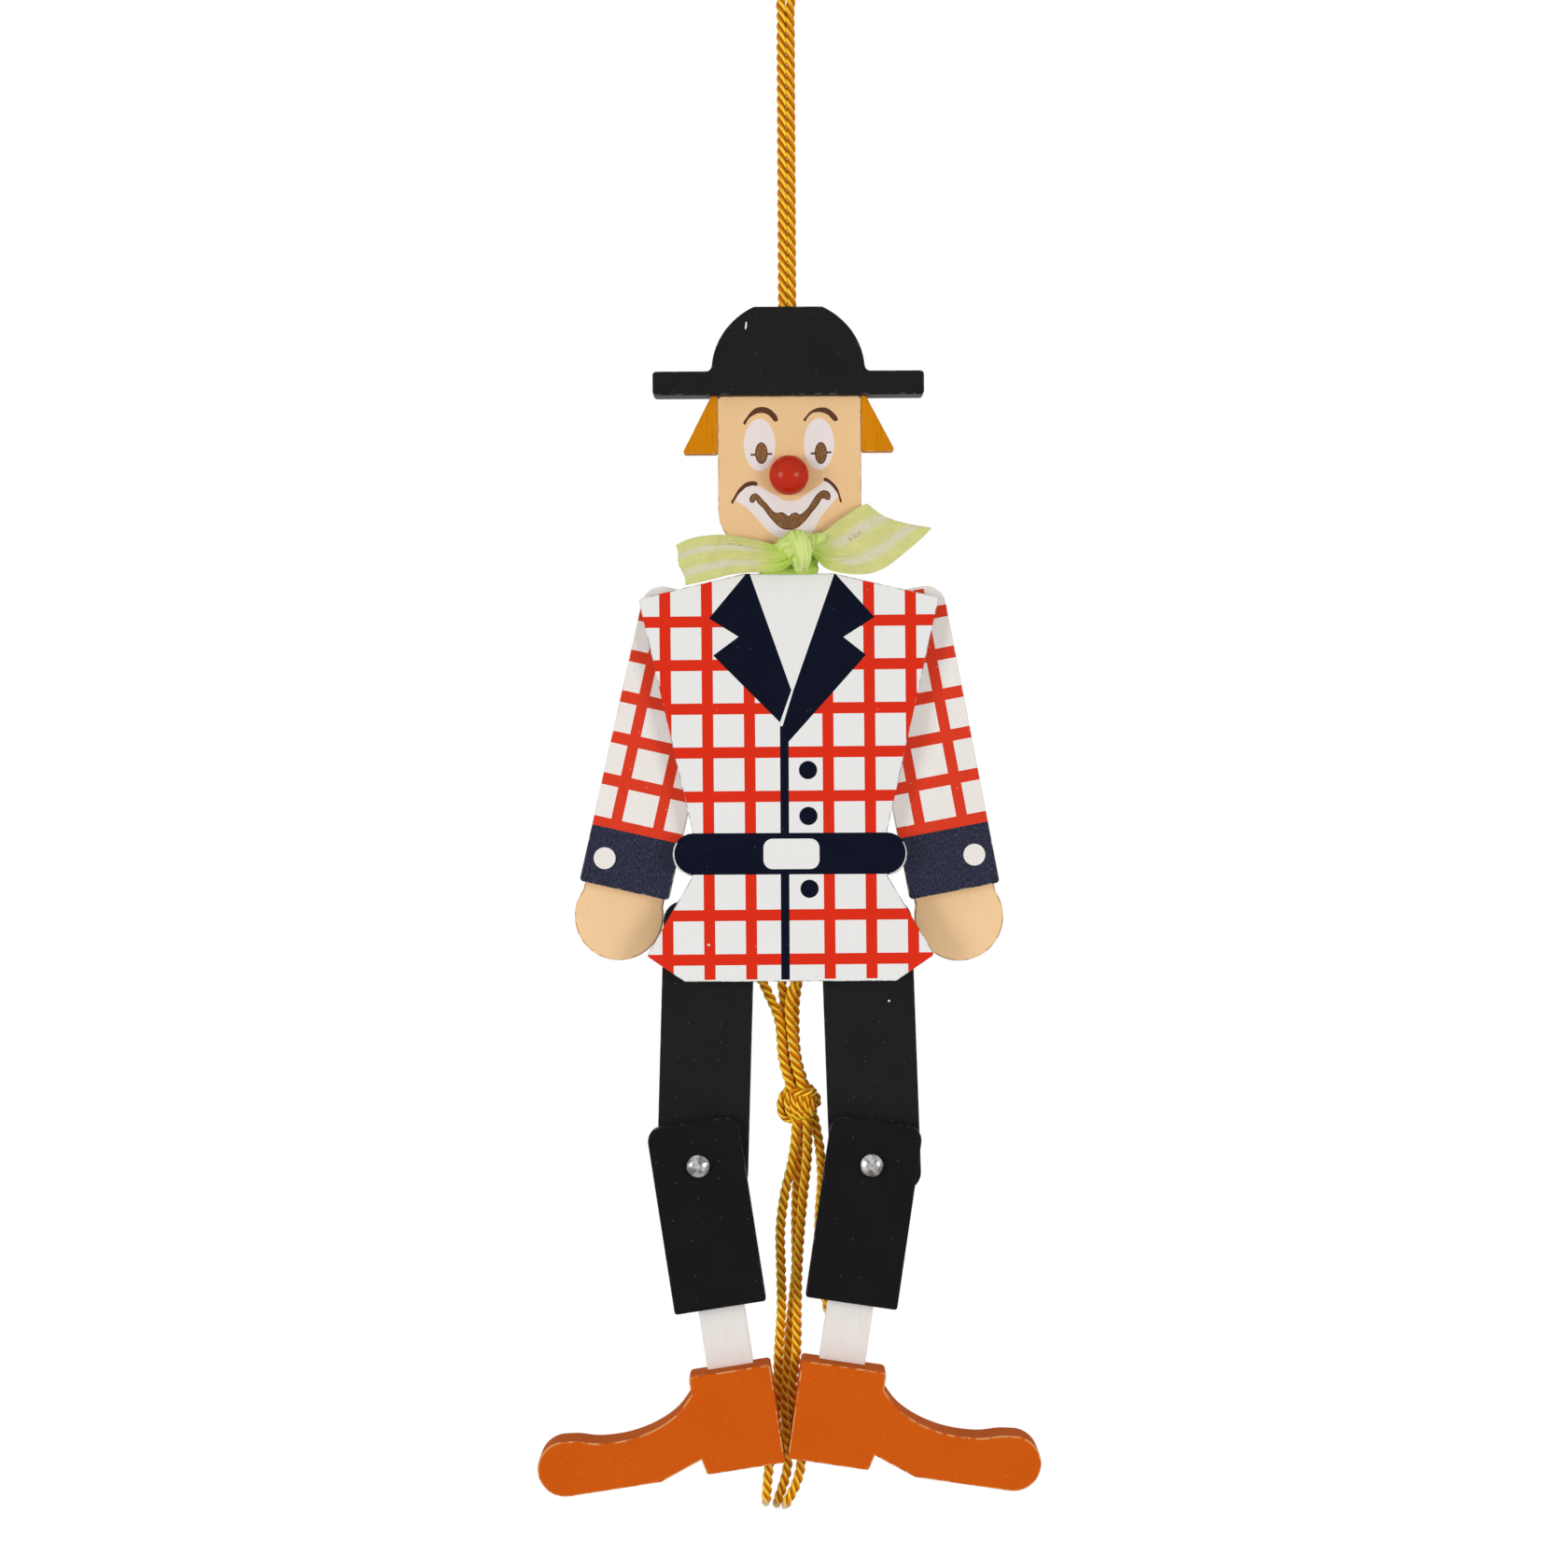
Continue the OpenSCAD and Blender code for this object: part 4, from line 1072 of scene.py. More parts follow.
class Route:
    """A smooth line through chosen points, with a frame that turns as little as it can."""

    # Steps between two chosen points, fewest steps in all, and a side direction too short to keep
    BETWEEN = 16
    FEWEST = 4
    NO_SIDE = 0.05

    def __init__(self, points: Path, step: float) -> None:
        """Draw the line.

        Args:
            points: the chosen points, in millimetres.
            step: how far apart its own points lie.
        """
        chosen = [Vector(p) for p in points]
        spans = [(b - a).length for a, b in zip(chosen, chosen[1:])]
        slopes = [(chosen[1] - chosen[0]) / spans[0]]
        for i in range(1, len(spans)):
            before, after = spans[i - 1], spans[i]
            into = (chosen[i] - chosen[i - 1]) / before
            out = (chosen[i + 1] - chosen[i]) / after
            slopes.append((into * after + out * before) / (before + after))
        slopes.append((chosen[-1] - chosen[-2]) / spans[-1])
        fine: list[Vector] = []
        for i, span in enumerate(spans):
            for k in range(self.BETWEEN):
                t = k / self.BETWEEN
                fine.append(
                    chosen[i] * (2 * t**3 - 3 * t**2 + 1)
                    + slopes[i] * span * (t**3 - 2 * t**2 + t)
                    + chosen[i + 1] * (3 * t**2 - 2 * t**3)
                    + slopes[i + 1] * span * (t**3 - t**2)
                )
        fine.append(chosen[-1])
        runs = [0.0]
        for a, b in zip(fine, fine[1:]):
            runs.append(runs[-1] + (b - a).length)
        self.length = runs[-1]
        count = max(self.FEWEST, round(self.length / step))
        self.step = self.length / count
        self.points: list[Vector] = []
        at = 0
        for k in range(count + 1):
            goal = self.length * k / count
            while at < len(runs) - 2 and runs[at + 1] < goal:
                at += 1
            share = (goal - runs[at]) / max(runs[at + 1] - runs[at], NO_GAP)
            self.points.append(fine[at].lerp(fine[at + 1], min(1.0, share)))
        self.frames = self._frames()

    def spot(self, share: float) -> tuple[Vector, Vector]:
        """Find a place on the line.

        Args:
            share: how far along the line, 0 to 1.

        Returns:
            The place, and the direction of the line there.
        """
        at = share * (len(self.points) - 1)
        low = min(int(at), len(self.points) - 2)
        near, far = self.points[low], self.points[low + 1]
        return near.lerp(far, at - low), (far - near).normalized()

    def _frames(self) -> list[tuple[Vector, Vector]]:
        """Carry a direction along the line.

        Returns:
            Two directions across the line at each point.
        """
        frames = []
        side = Vector((1, 0, 0))
        last = len(self.points) - 1
        for i in range(last + 1):
            ahead = (self.points[min(i + 1, last)] - self.points[max(i - 1, 0)]).normalized()
            side = side - ahead * side.dot(ahead)
            if side.length < self.NO_SIDE:
                side = ahead.orthogonal()
            side.normalize()
            frames.append((side.copy(), ahead.cross(side)))
        return frames


@dataclass
class Rope:
    """A twisted cord of three strands that follows a route."""

    diameter: float
    lead: float = 8.4
    strands: int = 3
    columns: int = 24
    floor: float = 0.7
    start_turn: float = 0.0
    tip: float = 0.0

    # A strand's radius as a share of the cord's, how a cut tip swells, and how far an end bulges
    STRAND = 0.464
    TIP_LEAST = 0.82
    TIP_GAIN = 0.22
    END_BULGE = 0.3

    def _reach(self, angle: float) -> tuple[float, float, float]:
        """Find the cord's surface at an angle.

        Args:
            angle: the angle round the cord's middle.

        Returns:
            The radius, how deep between strands that is, and on which flank of its strand.
        """
        wedge = 2 * math.pi / self.strands
        off = (angle + wedge / 2) % wedge - wedge / 2
        radius = self.diameter / 2
        out, strand = (1 - self.STRAND) * radius, self.STRAND * radius
        found = out * math.cos(off) + math.sqrt(max(0.0, strand**2 - (out * math.sin(off)) ** 2))
        found = max(found, self.floor * radius)
        return found, 1 - (found / radius - self.floor) / (1 - self.floor), 2 * off / wedge

    def add(self, draft: Draft, route: Route, finish: str = "gold_yarn") -> None:
        """Add the cord along a route to a mesh.

        Args:
            draft: the mesh to add to.
            route: the cord's middle line.
            finish: name of its finish.
        """
        rings: list[list[int]] = []
        last = len(route.points) - 1
        reaches = [self._reach(2 * math.pi * k / self.columns) for k in range(self.columns)]
        for i, (spot, (side, up)) in enumerate(zip(route.points, route.frames)):
            twist = self.start_turn - 2 * math.pi * i * route.step / self.lead
            left = (last - i) * route.step
            swell = 1.0
            tipped = 0.0
            if self.tip and left < self.tip:
                swell = self.TIP_LEAST + self.TIP_GAIN * left / self.tip
                tipped = 1 - left / self.tip
            ring = []
            # Each point carries its depth between strands and its flank, for the yarn's painted shade and
            # painted highlight
            for k, (reach, depth, flank) in enumerate(reaches):
                turn = 2 * math.pi * k / self.columns + twist
                off = side * math.cos(turn) + up * math.sin(turn)
                ring.append(draft.point(spot + off * reach * swell, crevice=depth, flank=flank, tip=tipped))
            rings.append(ring)
        for i, (near, far) in enumerate(zip(rings, rings[1:])):
            for k in range(self.columns):
                n = (k + 1) % self.columns
                s0, s1 = i * route.step, (i + 1) * route.step
                v0, v1 = self.strands * k / self.columns, self.strands * (k + 1) / self.columns
                draft.face([near[k], near[n], far[n], far[k]], finish, (),
                           [(s0, v0), (s0, v1), (s1, v1), (s1, v0)])
        for ring, index, turned in ((rings[0], 0, True), (rings[-1], last, False)):
            ahead = (route.points[min(index + 1, last)] - route.points[max(index - 1, 0)]).normalized()
            bulge = ahead * (-self.END_BULGE if turned else self.END_BULGE) * self.diameter
            cut = float(self.tip > 0 and not turned)
            middle = draft.point(route.points[index] + bulge, crevice=0.3, tip=cut)
            for k in range(self.columns):
                n = (k + 1) % self.columns
                corners = [ring[n], ring[k], middle] if turned else [ring[k], ring[n], middle]
                draft.face(corners, finish, (), [(0.0, 0.0)] * 3)


# Sub-assemblies


@dataclass
class Studio:
    """Camera, pale floor and plain soft light."""

    camera_at: Place = (-0.0015, -0.702, -0.230)
    lens: float = 60.0
    sensor: float = 36.0
    nearest: float = 0.01
    roll: float = 0.3
    floor_z: float = -0.6
    floor_glow: float = 0.42
    floor_r: float = 0.45
    floor_sides: int = 96
    floor_rings: Sequence[Point] = ((0.3, 0.0), (0.7, 0.0), (0.97, 0.0), (1.0, -3.0))
    ambient: float = 0.5
    lamp_power: float = 6.3
    lamp_size: float = 0.45
    lamps_aim: Place = (0, 0, -0.22)
    lamps: tuple[tuple[str, Place, float], ...] = (
        ("lamp_left", (-1.05, -0.85, -0.2), 1.06), ("lamp_right", (0.95, -0.95, -0.2), 0.92),
        ("lamp_back", (0.0, 1.1, 0.3), 0.5))

    def build(self) -> None:
        """Set up the camera, the world, the lamps and the floor."""
        scene = bpy.context.scene
        scene.view_settings.view_transform = "Standard"
        camera = bpy.data.objects.new("camera", bpy.data.cameras.new("camera"))
        camera.data.lens = self.lens
        camera.data.sensor_width = self.sensor
        camera.location = self.camera_at
        camera.rotation_euler = (math.pi / 2, math.radians(self.roll), 0)
        camera.data.clip_start = self.nearest
        scene.collection.objects.link(camera)
        scene.camera = camera
        self._world()
        for name, at, share in self.lamps:
            lamp = bpy.data.objects.new(name, bpy.data.lights.new(name, "AREA"))
            lamp.data.energy = self.lamp_power * share
            lamp.data.size = self.lamp_size
            lamp.location = at
            lamp.rotation_euler = (Vector(self.lamps_aim) - lamp.location).to_track_quat("-Z", "Y").to_euler()
            scene.collection.objects.link(lamp)
        self._floor()
        LOG.info("studio: camera, world, lamps and floor")

    def _world(self) -> None:
        """Light the scene softly, and show plain white wherever the background is seen."""
        world = bpy.data.worlds.new("soft_room")
        world.use_nodes = True
        bpy.context.scene.world = world
        graph = Graph(world.node_tree)
        path = graph.node("ShaderNodeLightPath")
        rays = ("Is Camera Ray", "Is Glossy Ray", "Is Transmission Ray")
        seen = [Value(graph, path.outputs[name]) for name in rays]
        share = graph.step(seen[0] + seen[1] + seen[2], 0.0, 1.0)
        strength = share * (1 - self.ambient) + self.ambient
        light = graph.value("ShaderNodeBackground", {}, {"Color": (1, 1, 1, 1), "Strength": strength})
        graph.node("ShaderNodeOutputWorld", {}, {"Surface": light})

    def _floor(self) -> None:
        """Lay a round pale floor with a lowered rim under the hanging figure, white to the camera."""
        draft = Draft("floor")
        middle = draft.point((0, 0, self.floor_z / MM))
        rings = []
        for share, rise in self.floor_rings:
            radius = self.floor_r * share / MM
            circle = ellipse(0, 0, radius, radius, self.floor_sides)
            rings.append([draft.point((x, y, self.floor_z / MM + rise)) for x, y in circle])
        for k in range(self.floor_sides):
            n = (k + 1) % self.floor_sides
            draft.face([middle, rings[0][k], rings[0][n]], "floor")
            for inner, outer in zip(rings, rings[1:]):
                draft.face([inner[k], outer[k], outer[n], inner[n]], "floor")
        mesh = bpy.data.meshes.new("floor")
        mesh.from_pydata([p * MM for p in draft.points], [], draft.faces)
        mesh.shade_smooth()
        shader = Shader("floor")
        grain = shader.noise(shader.place(), 40, 3)
        seen = shader.value("ShaderNodeLightPath", output="Is Camera Ray")
        shader.feed({
            "Base Color": shader.blend(grain, (0.86, 0.86, 0.86, 1), (0.9, 0.9, 0.9, 1)),
            "Roughness": 0.8,
            "Specular IOR Level": 0.1,
            "Emission Color": shader.blend(seen, (0, 0, 0, 1), (1, 1, 1, 1)),
            "Emission Strength": self.floor_glow,
        })
        mesh.materials.append(shader.material)
        floor = bpy.data.objects.new("floor", mesh)
        bpy.context.scene.collection.objects.link(floor)


@dataclass
class HangingCord:
    """The doubled cord that the figure hangs from."""

    diameter: float = 2.7
    foot: tuple[float, ...] = (-112, -98, -84, -70, -56, -42, -30, -22)
    half_gap: float = 1.17
    crown: float = -102.4
    eye: Outline = (
        (-1.6, -17.5), (-2.5, -13.5), (-4, -10.7), (-5.5, -8), (-6.3, -4.8), (-5.5, -1.7), (-3.2, 0.6))
    eye_top: float = 1.3

    def route(self) -> list[Place]:
        """Lead the cord up one strand, round the eye and down the other.

        Returns:
            The route's points, in millimetres.
        """
        rising = [(-self.half_gap, 0.0, float(z)) for z in self.foot]
        rising += [(x, 0.0, z) for x, z in self.eye]
        return [*rising, (0.0, 0.0, self.eye_top), *((-x, y, z) for x, y, z in reversed(rising))]

    def build(self, palette: Palette) -> None:
        """Args:
            palette: where the finishes come from.
        """
        route = Route(self.route(), CORD_STEP)
        draft = Draft("hanging_cord_twisted")
        Rope(self.diameter).add(draft, route)
        made = draft.piece(palette, "torso", ["hanging_cord"])
        self.diameter * MM


@dataclass
class PullCords:
    """Four cords from the limbs, the knot they share and their loose ends."""

    diameter: float = 2.8
    lead: float = 7.5
    between_starts: float = 1.7
    knot_at: Place = (2.3, 9.7, -316.9)
    tip: float = 1.6
    wrap_diameter: float = 2.2
    wrap_lead: float = 6.6
    wrap_step: float = 0.4
    between_wraps: float = 1.3
    wrap_reach: float = 0.86
    hidden_reach: Place = (0.92, -0.82, 0.9)
    leg_left: Path = (
        (-13.2, 8.3, -270.2), (-12.9, 8.4, -273), (-11.5, 8.4, -277), (-9.3, 8.4, -281), (-7.2, 8.4, -284.5),
        (-5.7, 8.4, -287.8), (-4.2, 8.4, -291), (-3.0, 8.3, -295), (-2.6, 8.2, -299.5), (-2.3, 8.1, -303.5),
        (-1.6, 8, -307.3), (-0.5, 8, -310.9), (1.3, 8, -322.9), (0.3, 8.2, -332), (-1.8, 8.4, -341),
        (-3.1, 8.4, -351), (-3, 8.4, -362), (-2.9, 8.4, -372), (-3.7, 8.4, -384), (-4.3, 8.4, -396),
        (-5.3, 8.4, -408), (-6.7, 8.4, -417), (-7.4, 8.4, -425.6))
    arm_left: Path = (
        (-23.8, 8.5, -186.7), (-20.9, 8.8, -200), (-17.5, 9.3, -215), (-14.1, 9.8, -230), (-10.8, 10.3, -245),
        (-7.5, 10.7, -260), (-4.3, 10.9, -274), (-2.4, 11, -284), (-1.8, 11.1, -290), (-1.9, 11.2, -296),
        (-1.8, 11.2, -302), (-1, 11.1, -307), (0.2, 11, -310.9), (2.1, 11.1, -322.9), (2, 11.2, -332),
        (1.3, 11.3, -342), (1.1, 11.3, -352), (1.1, 11.3, -362), (0.2, 11.3, -371), (-0.9, 11.3, -381),
        (-1.6, 11.2, -390), (-2.4, 11.2, -398), (-1.8, 11.2, -408), (-1.5, 11.2, -416), (-4.6, 11.2, -426.9))
    leg_right: Path = (
        (11.8, 8.3, -270.2), (11.5, 8.4, -272.6), (9.2, 8.4, -275.8), (5.6, 8.4, -279), (2.2, 8.4, -282.6),
        (0.3, 8.4, -286.4), (-0.3, 8.4, -290.6), (-0.1, 8.3, -295), (0.4, 8.2, -299.5), (0.9, 8.1, -303.5),
        (1.6, 8, -307.3), (2.7, 8, -310.9), (4.4, 8, -322.9), (4.2, 8.1, -332), (3.1, 8.3, -342),
        (2.1, 8.4, -353), (1.5, 8.4, -363), (1.3, 8.4, -372), (1.0, 8.4, -385), (-0.2, 8.4, -397),
        (0.6, 8.4, -407), (2.2, 8.4, -414), (0.9, 8.4, -420), (-2.4, 8.4, -426.4))
    arm_right: Path = (
        (26.2, 8.5, -186.7), (22.9, 8.8, -200), (19, 9.4, -215), (15.2, 10, -230), (11.5, 10.6, -245),
        (7.8, 11.1, -260), (4.4, 11.4, -274), (2, 11.5, -284), (1.2, 11.5, -290), (1.1, 11.4, -296),
        (1.3, 11.3, -302), (2.1, 11.1, -307), (3.3, 11, -310.9), (6.6, 10.2, -322.9), (7.8, 9.5, -330),
        (8.2, 9, -337), (7.5, 8.8, -347), (7.5, 8.8, -358), (8.8, 8.8, -367), (9.8, 8.8, -374))

    # Turns of cord across the knot from left to right, then over its top, all about its middle
    turns_down: Sequence[Path] = (
        ((-1.4, -0.2, 4.6), (-4.0, -1.4, 4.2), (-5.6, -2.0, 2.0), (-6.0, -1.9, -1.4), (-5.2, -1.4, -4.0),
         (-2.6, -1.0, -5.4)),
        ((-1.6, -0.6, 4.8), (-3.2, -2.9, 3.2), (-3.8, -3.6, 0.6), (-3.1, -3.2, -2.4), (-1.0, -1.4, -5.0)),
        ((-0.2, -0.6, 4.8), (-1.4, -3.5, 3.2), (-1.9, -4.3, 0.2), (-1.2, -3.8, -2.8), (0.4, -1.2, -5.2)),
        ((1.2, -0.8, 4.8), (0.6, -3.8, 3.0), (0.0, -4.6, 0.0), (0.4, -3.9, -2.9), (1.6, -1.0, -5.0)),
        ((3.0, -0.8, 4.6), (2.5, -3.6, 2.6), (1.9, -4.4, -0.2), (1.9, -3.4, -3.0), (2.6, -0.8, -4.8)),
        ((4.4, -0.8, 2.8), (4.0, -3.0, 1.0), (3.5, -3.4, -1.4), (3.2, -2.2, -3.6), (3.4, -0.4, -4.8)))
    turns_over: Sequence[Path] = (
        ((-3.4, -0.8, 3.4), (-1.0, -4.4, 3.9), (2.2, -4.3, 3.7), (4.4, -1.6, 3.0), (5.2, 0.4, 1.4)),
        ((1.4, 0.2, 3.6), (2.6, -1.2, 5.0), (3.8, -0.8, 4.6), (4.6, 0.8, 2.8)),
        ((3.4, 0.6, 2.0), (4.9, -0.6, 2.6), (5.7, -0.2, 1.2), (5.3, 0.8, -0.6), (3.6, 0.6, -1.4)))

    def wraps(self) -> list[list[Place]]:
        """Lay the turns of cord that show on the knot, front and back.

        Returns:
            The points of each turn, in millimetres.
        """
        wide, deep, high = self.hidden_reach
        hidden = [[(x * wide, y * deep, z * high) for x, y, z in turn] for turn in self.turns_down]
        turns = [*self.turns_down, *self.turns_over, *hidden]
        middle = Vector(self.knot_at)
        return [[tuple(Vector(p) * self.wrap_reach + middle) for p in turn] for turn in turns]

    def build(self, palette: Palette) -> None:
        """Args:
            palette: where the finishes come from.
        """
        knot = Draft("pull_knot_wraps")
        for index, wrap in enumerate(self.wraps()):
            rope = Rope(self.wrap_diameter, lead=self.wrap_lead, start_turn=index * self.between_wraps)
            rope.add(knot, Route(wrap, self.wrap_step))
        knot_piece = knot.piece(palette, "pull_cords", ["pull_knot"])
        cords = (
            ("leg_cord_left", "cord_tail_1", self.leg_left),
            ("arm_cord_left", "cord_tail_2", self.arm_left),
            ("leg_cord_right", "cord_tail_3", self.leg_right),
            ("arm_cord_right", "cord_tail_4", self.arm_right),
        )
        for index, (cord, tail, points) in enumerate(cords):
            route = Route(points, CORD_STEP)
            draft = Draft(cord + "_twisted")
            start = index * self.between_starts
            Rope(self.diameter, lead=self.lead, start_turn=start, tip=self.tip).add(draft, route)
            made = draft.piece(palette, "pull_cords", [cord, tail])
            tuple(Vector(points[0]) * MM)
            self.diameter * MM
            [knot_piece] if index == 0 else []


@dataclass
class LimbKnot:
    """A small overhand knot that holds a cord in a limb's hole."""

    node: str
    body: str
    size: float = 0.72
    rope: float = 1.7
    lead: float = 5.0
    columns: int = 18
    step: float = 0.3
    steps: int = 24
    depth: float = 1.6

    def build(self, palette: Palette) -> None:
        """Build the knot in the space of its node, as a three-lobed loop.

        Args:
            palette: where the finishes come from.
        """
        low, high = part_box(self.node)
        middle = (low + high) / 2 / MM
        half = (high - low) / 2 / MM
        points = []
        for k in range(self.steps + 1):
            t = 2 * math.pi * k / self.steps
            shape = Vector((math.sin(t) + 2 * math.sin(2 * t), -math.sin(3 * t) * self.depth,
                            math.cos(t) - 2 * math.cos(2 * t))) / 3
            points.append(tuple(middle + shape * half * self.size))
        draft = Draft(self.node + "_tied")
        Rope(self.rope, lead=self.lead, columns=self.columns).add(draft, Route(points, self.step))
        draft.piece(palette, self.body, [self.node])


@dataclass
class Torso:
    """The torso board with its printed jacket, and the strip behind the neck."""

    stripe: float = 3.0
    uprights: tuple[float, ...] = (10.5, 21.7, 32.9)
    crossings: tuple[float, ...] = (-186.5, -198.15, -209.85, -221.6, -233.4, -265.2, -277.05)
    lean: float = 0.0042
    lean_about: Point = (-30.0, -252.0)
    print_foot: float = -282.4
    belt_top: float = -243.1
    belt_foot: float = -254.22
    belt_w: float = 62.8
    belt_rim: float = 0.4
    buttons: Sequence[Point] = ((4.95, -226.3), (5.0, -238.6), (5.2, -258.1))
    button_r: float = 2.45
    print_half: float = 45.0
    print_top: float = -170.0
    opening_half: float = 12.0
    opening_foot: float = -178.0
    opening: Outline = (
        (-11.4, -170), (-11.4, -174.2), (-0.3, -206.2), (1.3, -206.2), (12.6, -174.2), (12.6, -170))
    fold: Outline = ((-0.9, -203.2), (-2.9, -216.2), (-0.5, -219.6), (3.5, -206.0), (1.3, -202.8))
    front_left: float = -2.5
    front_corner: Point = (-0.2, -214.5)
    lapel_left: Outline = (
        (-11.65, -170), (-11.65, -173.95), (-21.4, -185.55), (-13.5, -190.5), (-20.3, -195.5), (-2.5, -213.5),
        (0.6, -204.9), (-10.3, -173.95), (-10.3, -170))
    lapel_right: Outline = (
        (12.4, -170), (12.4, -173.6), (22.95, -185.4), (14.6, -190.7), (20.65, -195.5), (-0.3, -218.8),
        (-2.5, -216.7), (1.15, -204.9), (12.3, -173.6), (12.3, -170))
    buckle: tuple[Point, Point] = ((-7.1, -252.8), (7.9, -244.65))
    buckle_round: float = 2.45
    chip: tuple[float, ...] = (-21.9, -273.0, 0.35, 0.3)

    def _leaned(self, loop: Outline) -> list[Point]:
        """A contour turned slightly, as the check sits on the board."""
        x0, z0 = self.lean_about
        return [(x - self.lean * (z - z0), z + self.lean * (x - x0)) for x, z in loop]

    def print(self) -> list[Region]:
        """Lay the jacket's print.

        Returns:
            Its regions, from the ground up.
        """
        half = self.stripe / 2
        wide = self.print_half
        regions: list[Region] = []
        for x in [*self.uprights, *(-x for x in self.uprights)]:
            top = self.opening_foot if abs(x) < self.opening_half else self.print_top
            regions.append(("coat_red", self._leaned(oblong((x - half, self.print_foot), (x + half, top)))))
        for z in self.crossings:
            regions.append(("coat_red", self._leaned(oblong((-wide, z - half), (wide, z + half)))))
        regions.append(("shirt_white", self.opening))
        regions.append(("coat_white", self.fold))
        regions.append(("coat_navy", oblong((self.front_left, self.print_foot), self.front_corner)))
        regions += [("coat_navy", lapel) for lapel in (self.lapel_left, self.lapel_right)]
        regions.append(("coat_white", ellipse(*self.chip, CHIP_SIDES)))
        for x, z in self.buttons:
            regions.append(("coat_navy", ellipse(x, z, self.button_r, self.button_r, BUTTON_SIDES)))
        reach = self.belt_w / 2
        regions.append(("coat_white", oblong((-reach - 1, self.belt_foot), (reach + 1, self.belt_top))))
        end = (self.belt_top - self.belt_foot) / 2
        regions.append(("coat_navy", oblong((-reach + self.belt_rim, self.belt_foot),
                                            (reach - self.belt_rim, self.belt_top), end - 0.05, 14)))
        regions.append(("shirt_white", oblong(*self.buckle, self.buckle_round)))
        return regions

    def build(self, palette: Palette) -> None:
        """Build the torso and the neck strip.

        Args:
            palette: where the finishes come from.
        """
        Board("torso_board", "torso", "painted_torso", "coat_white", "coat_side", "coat_back",
              self.print(), rounding=0.3).build(palette)
        Board("neck_strip", "torso", "bare_wood", "dark_wood", "dark_wood", "dark_wood").build(palette)


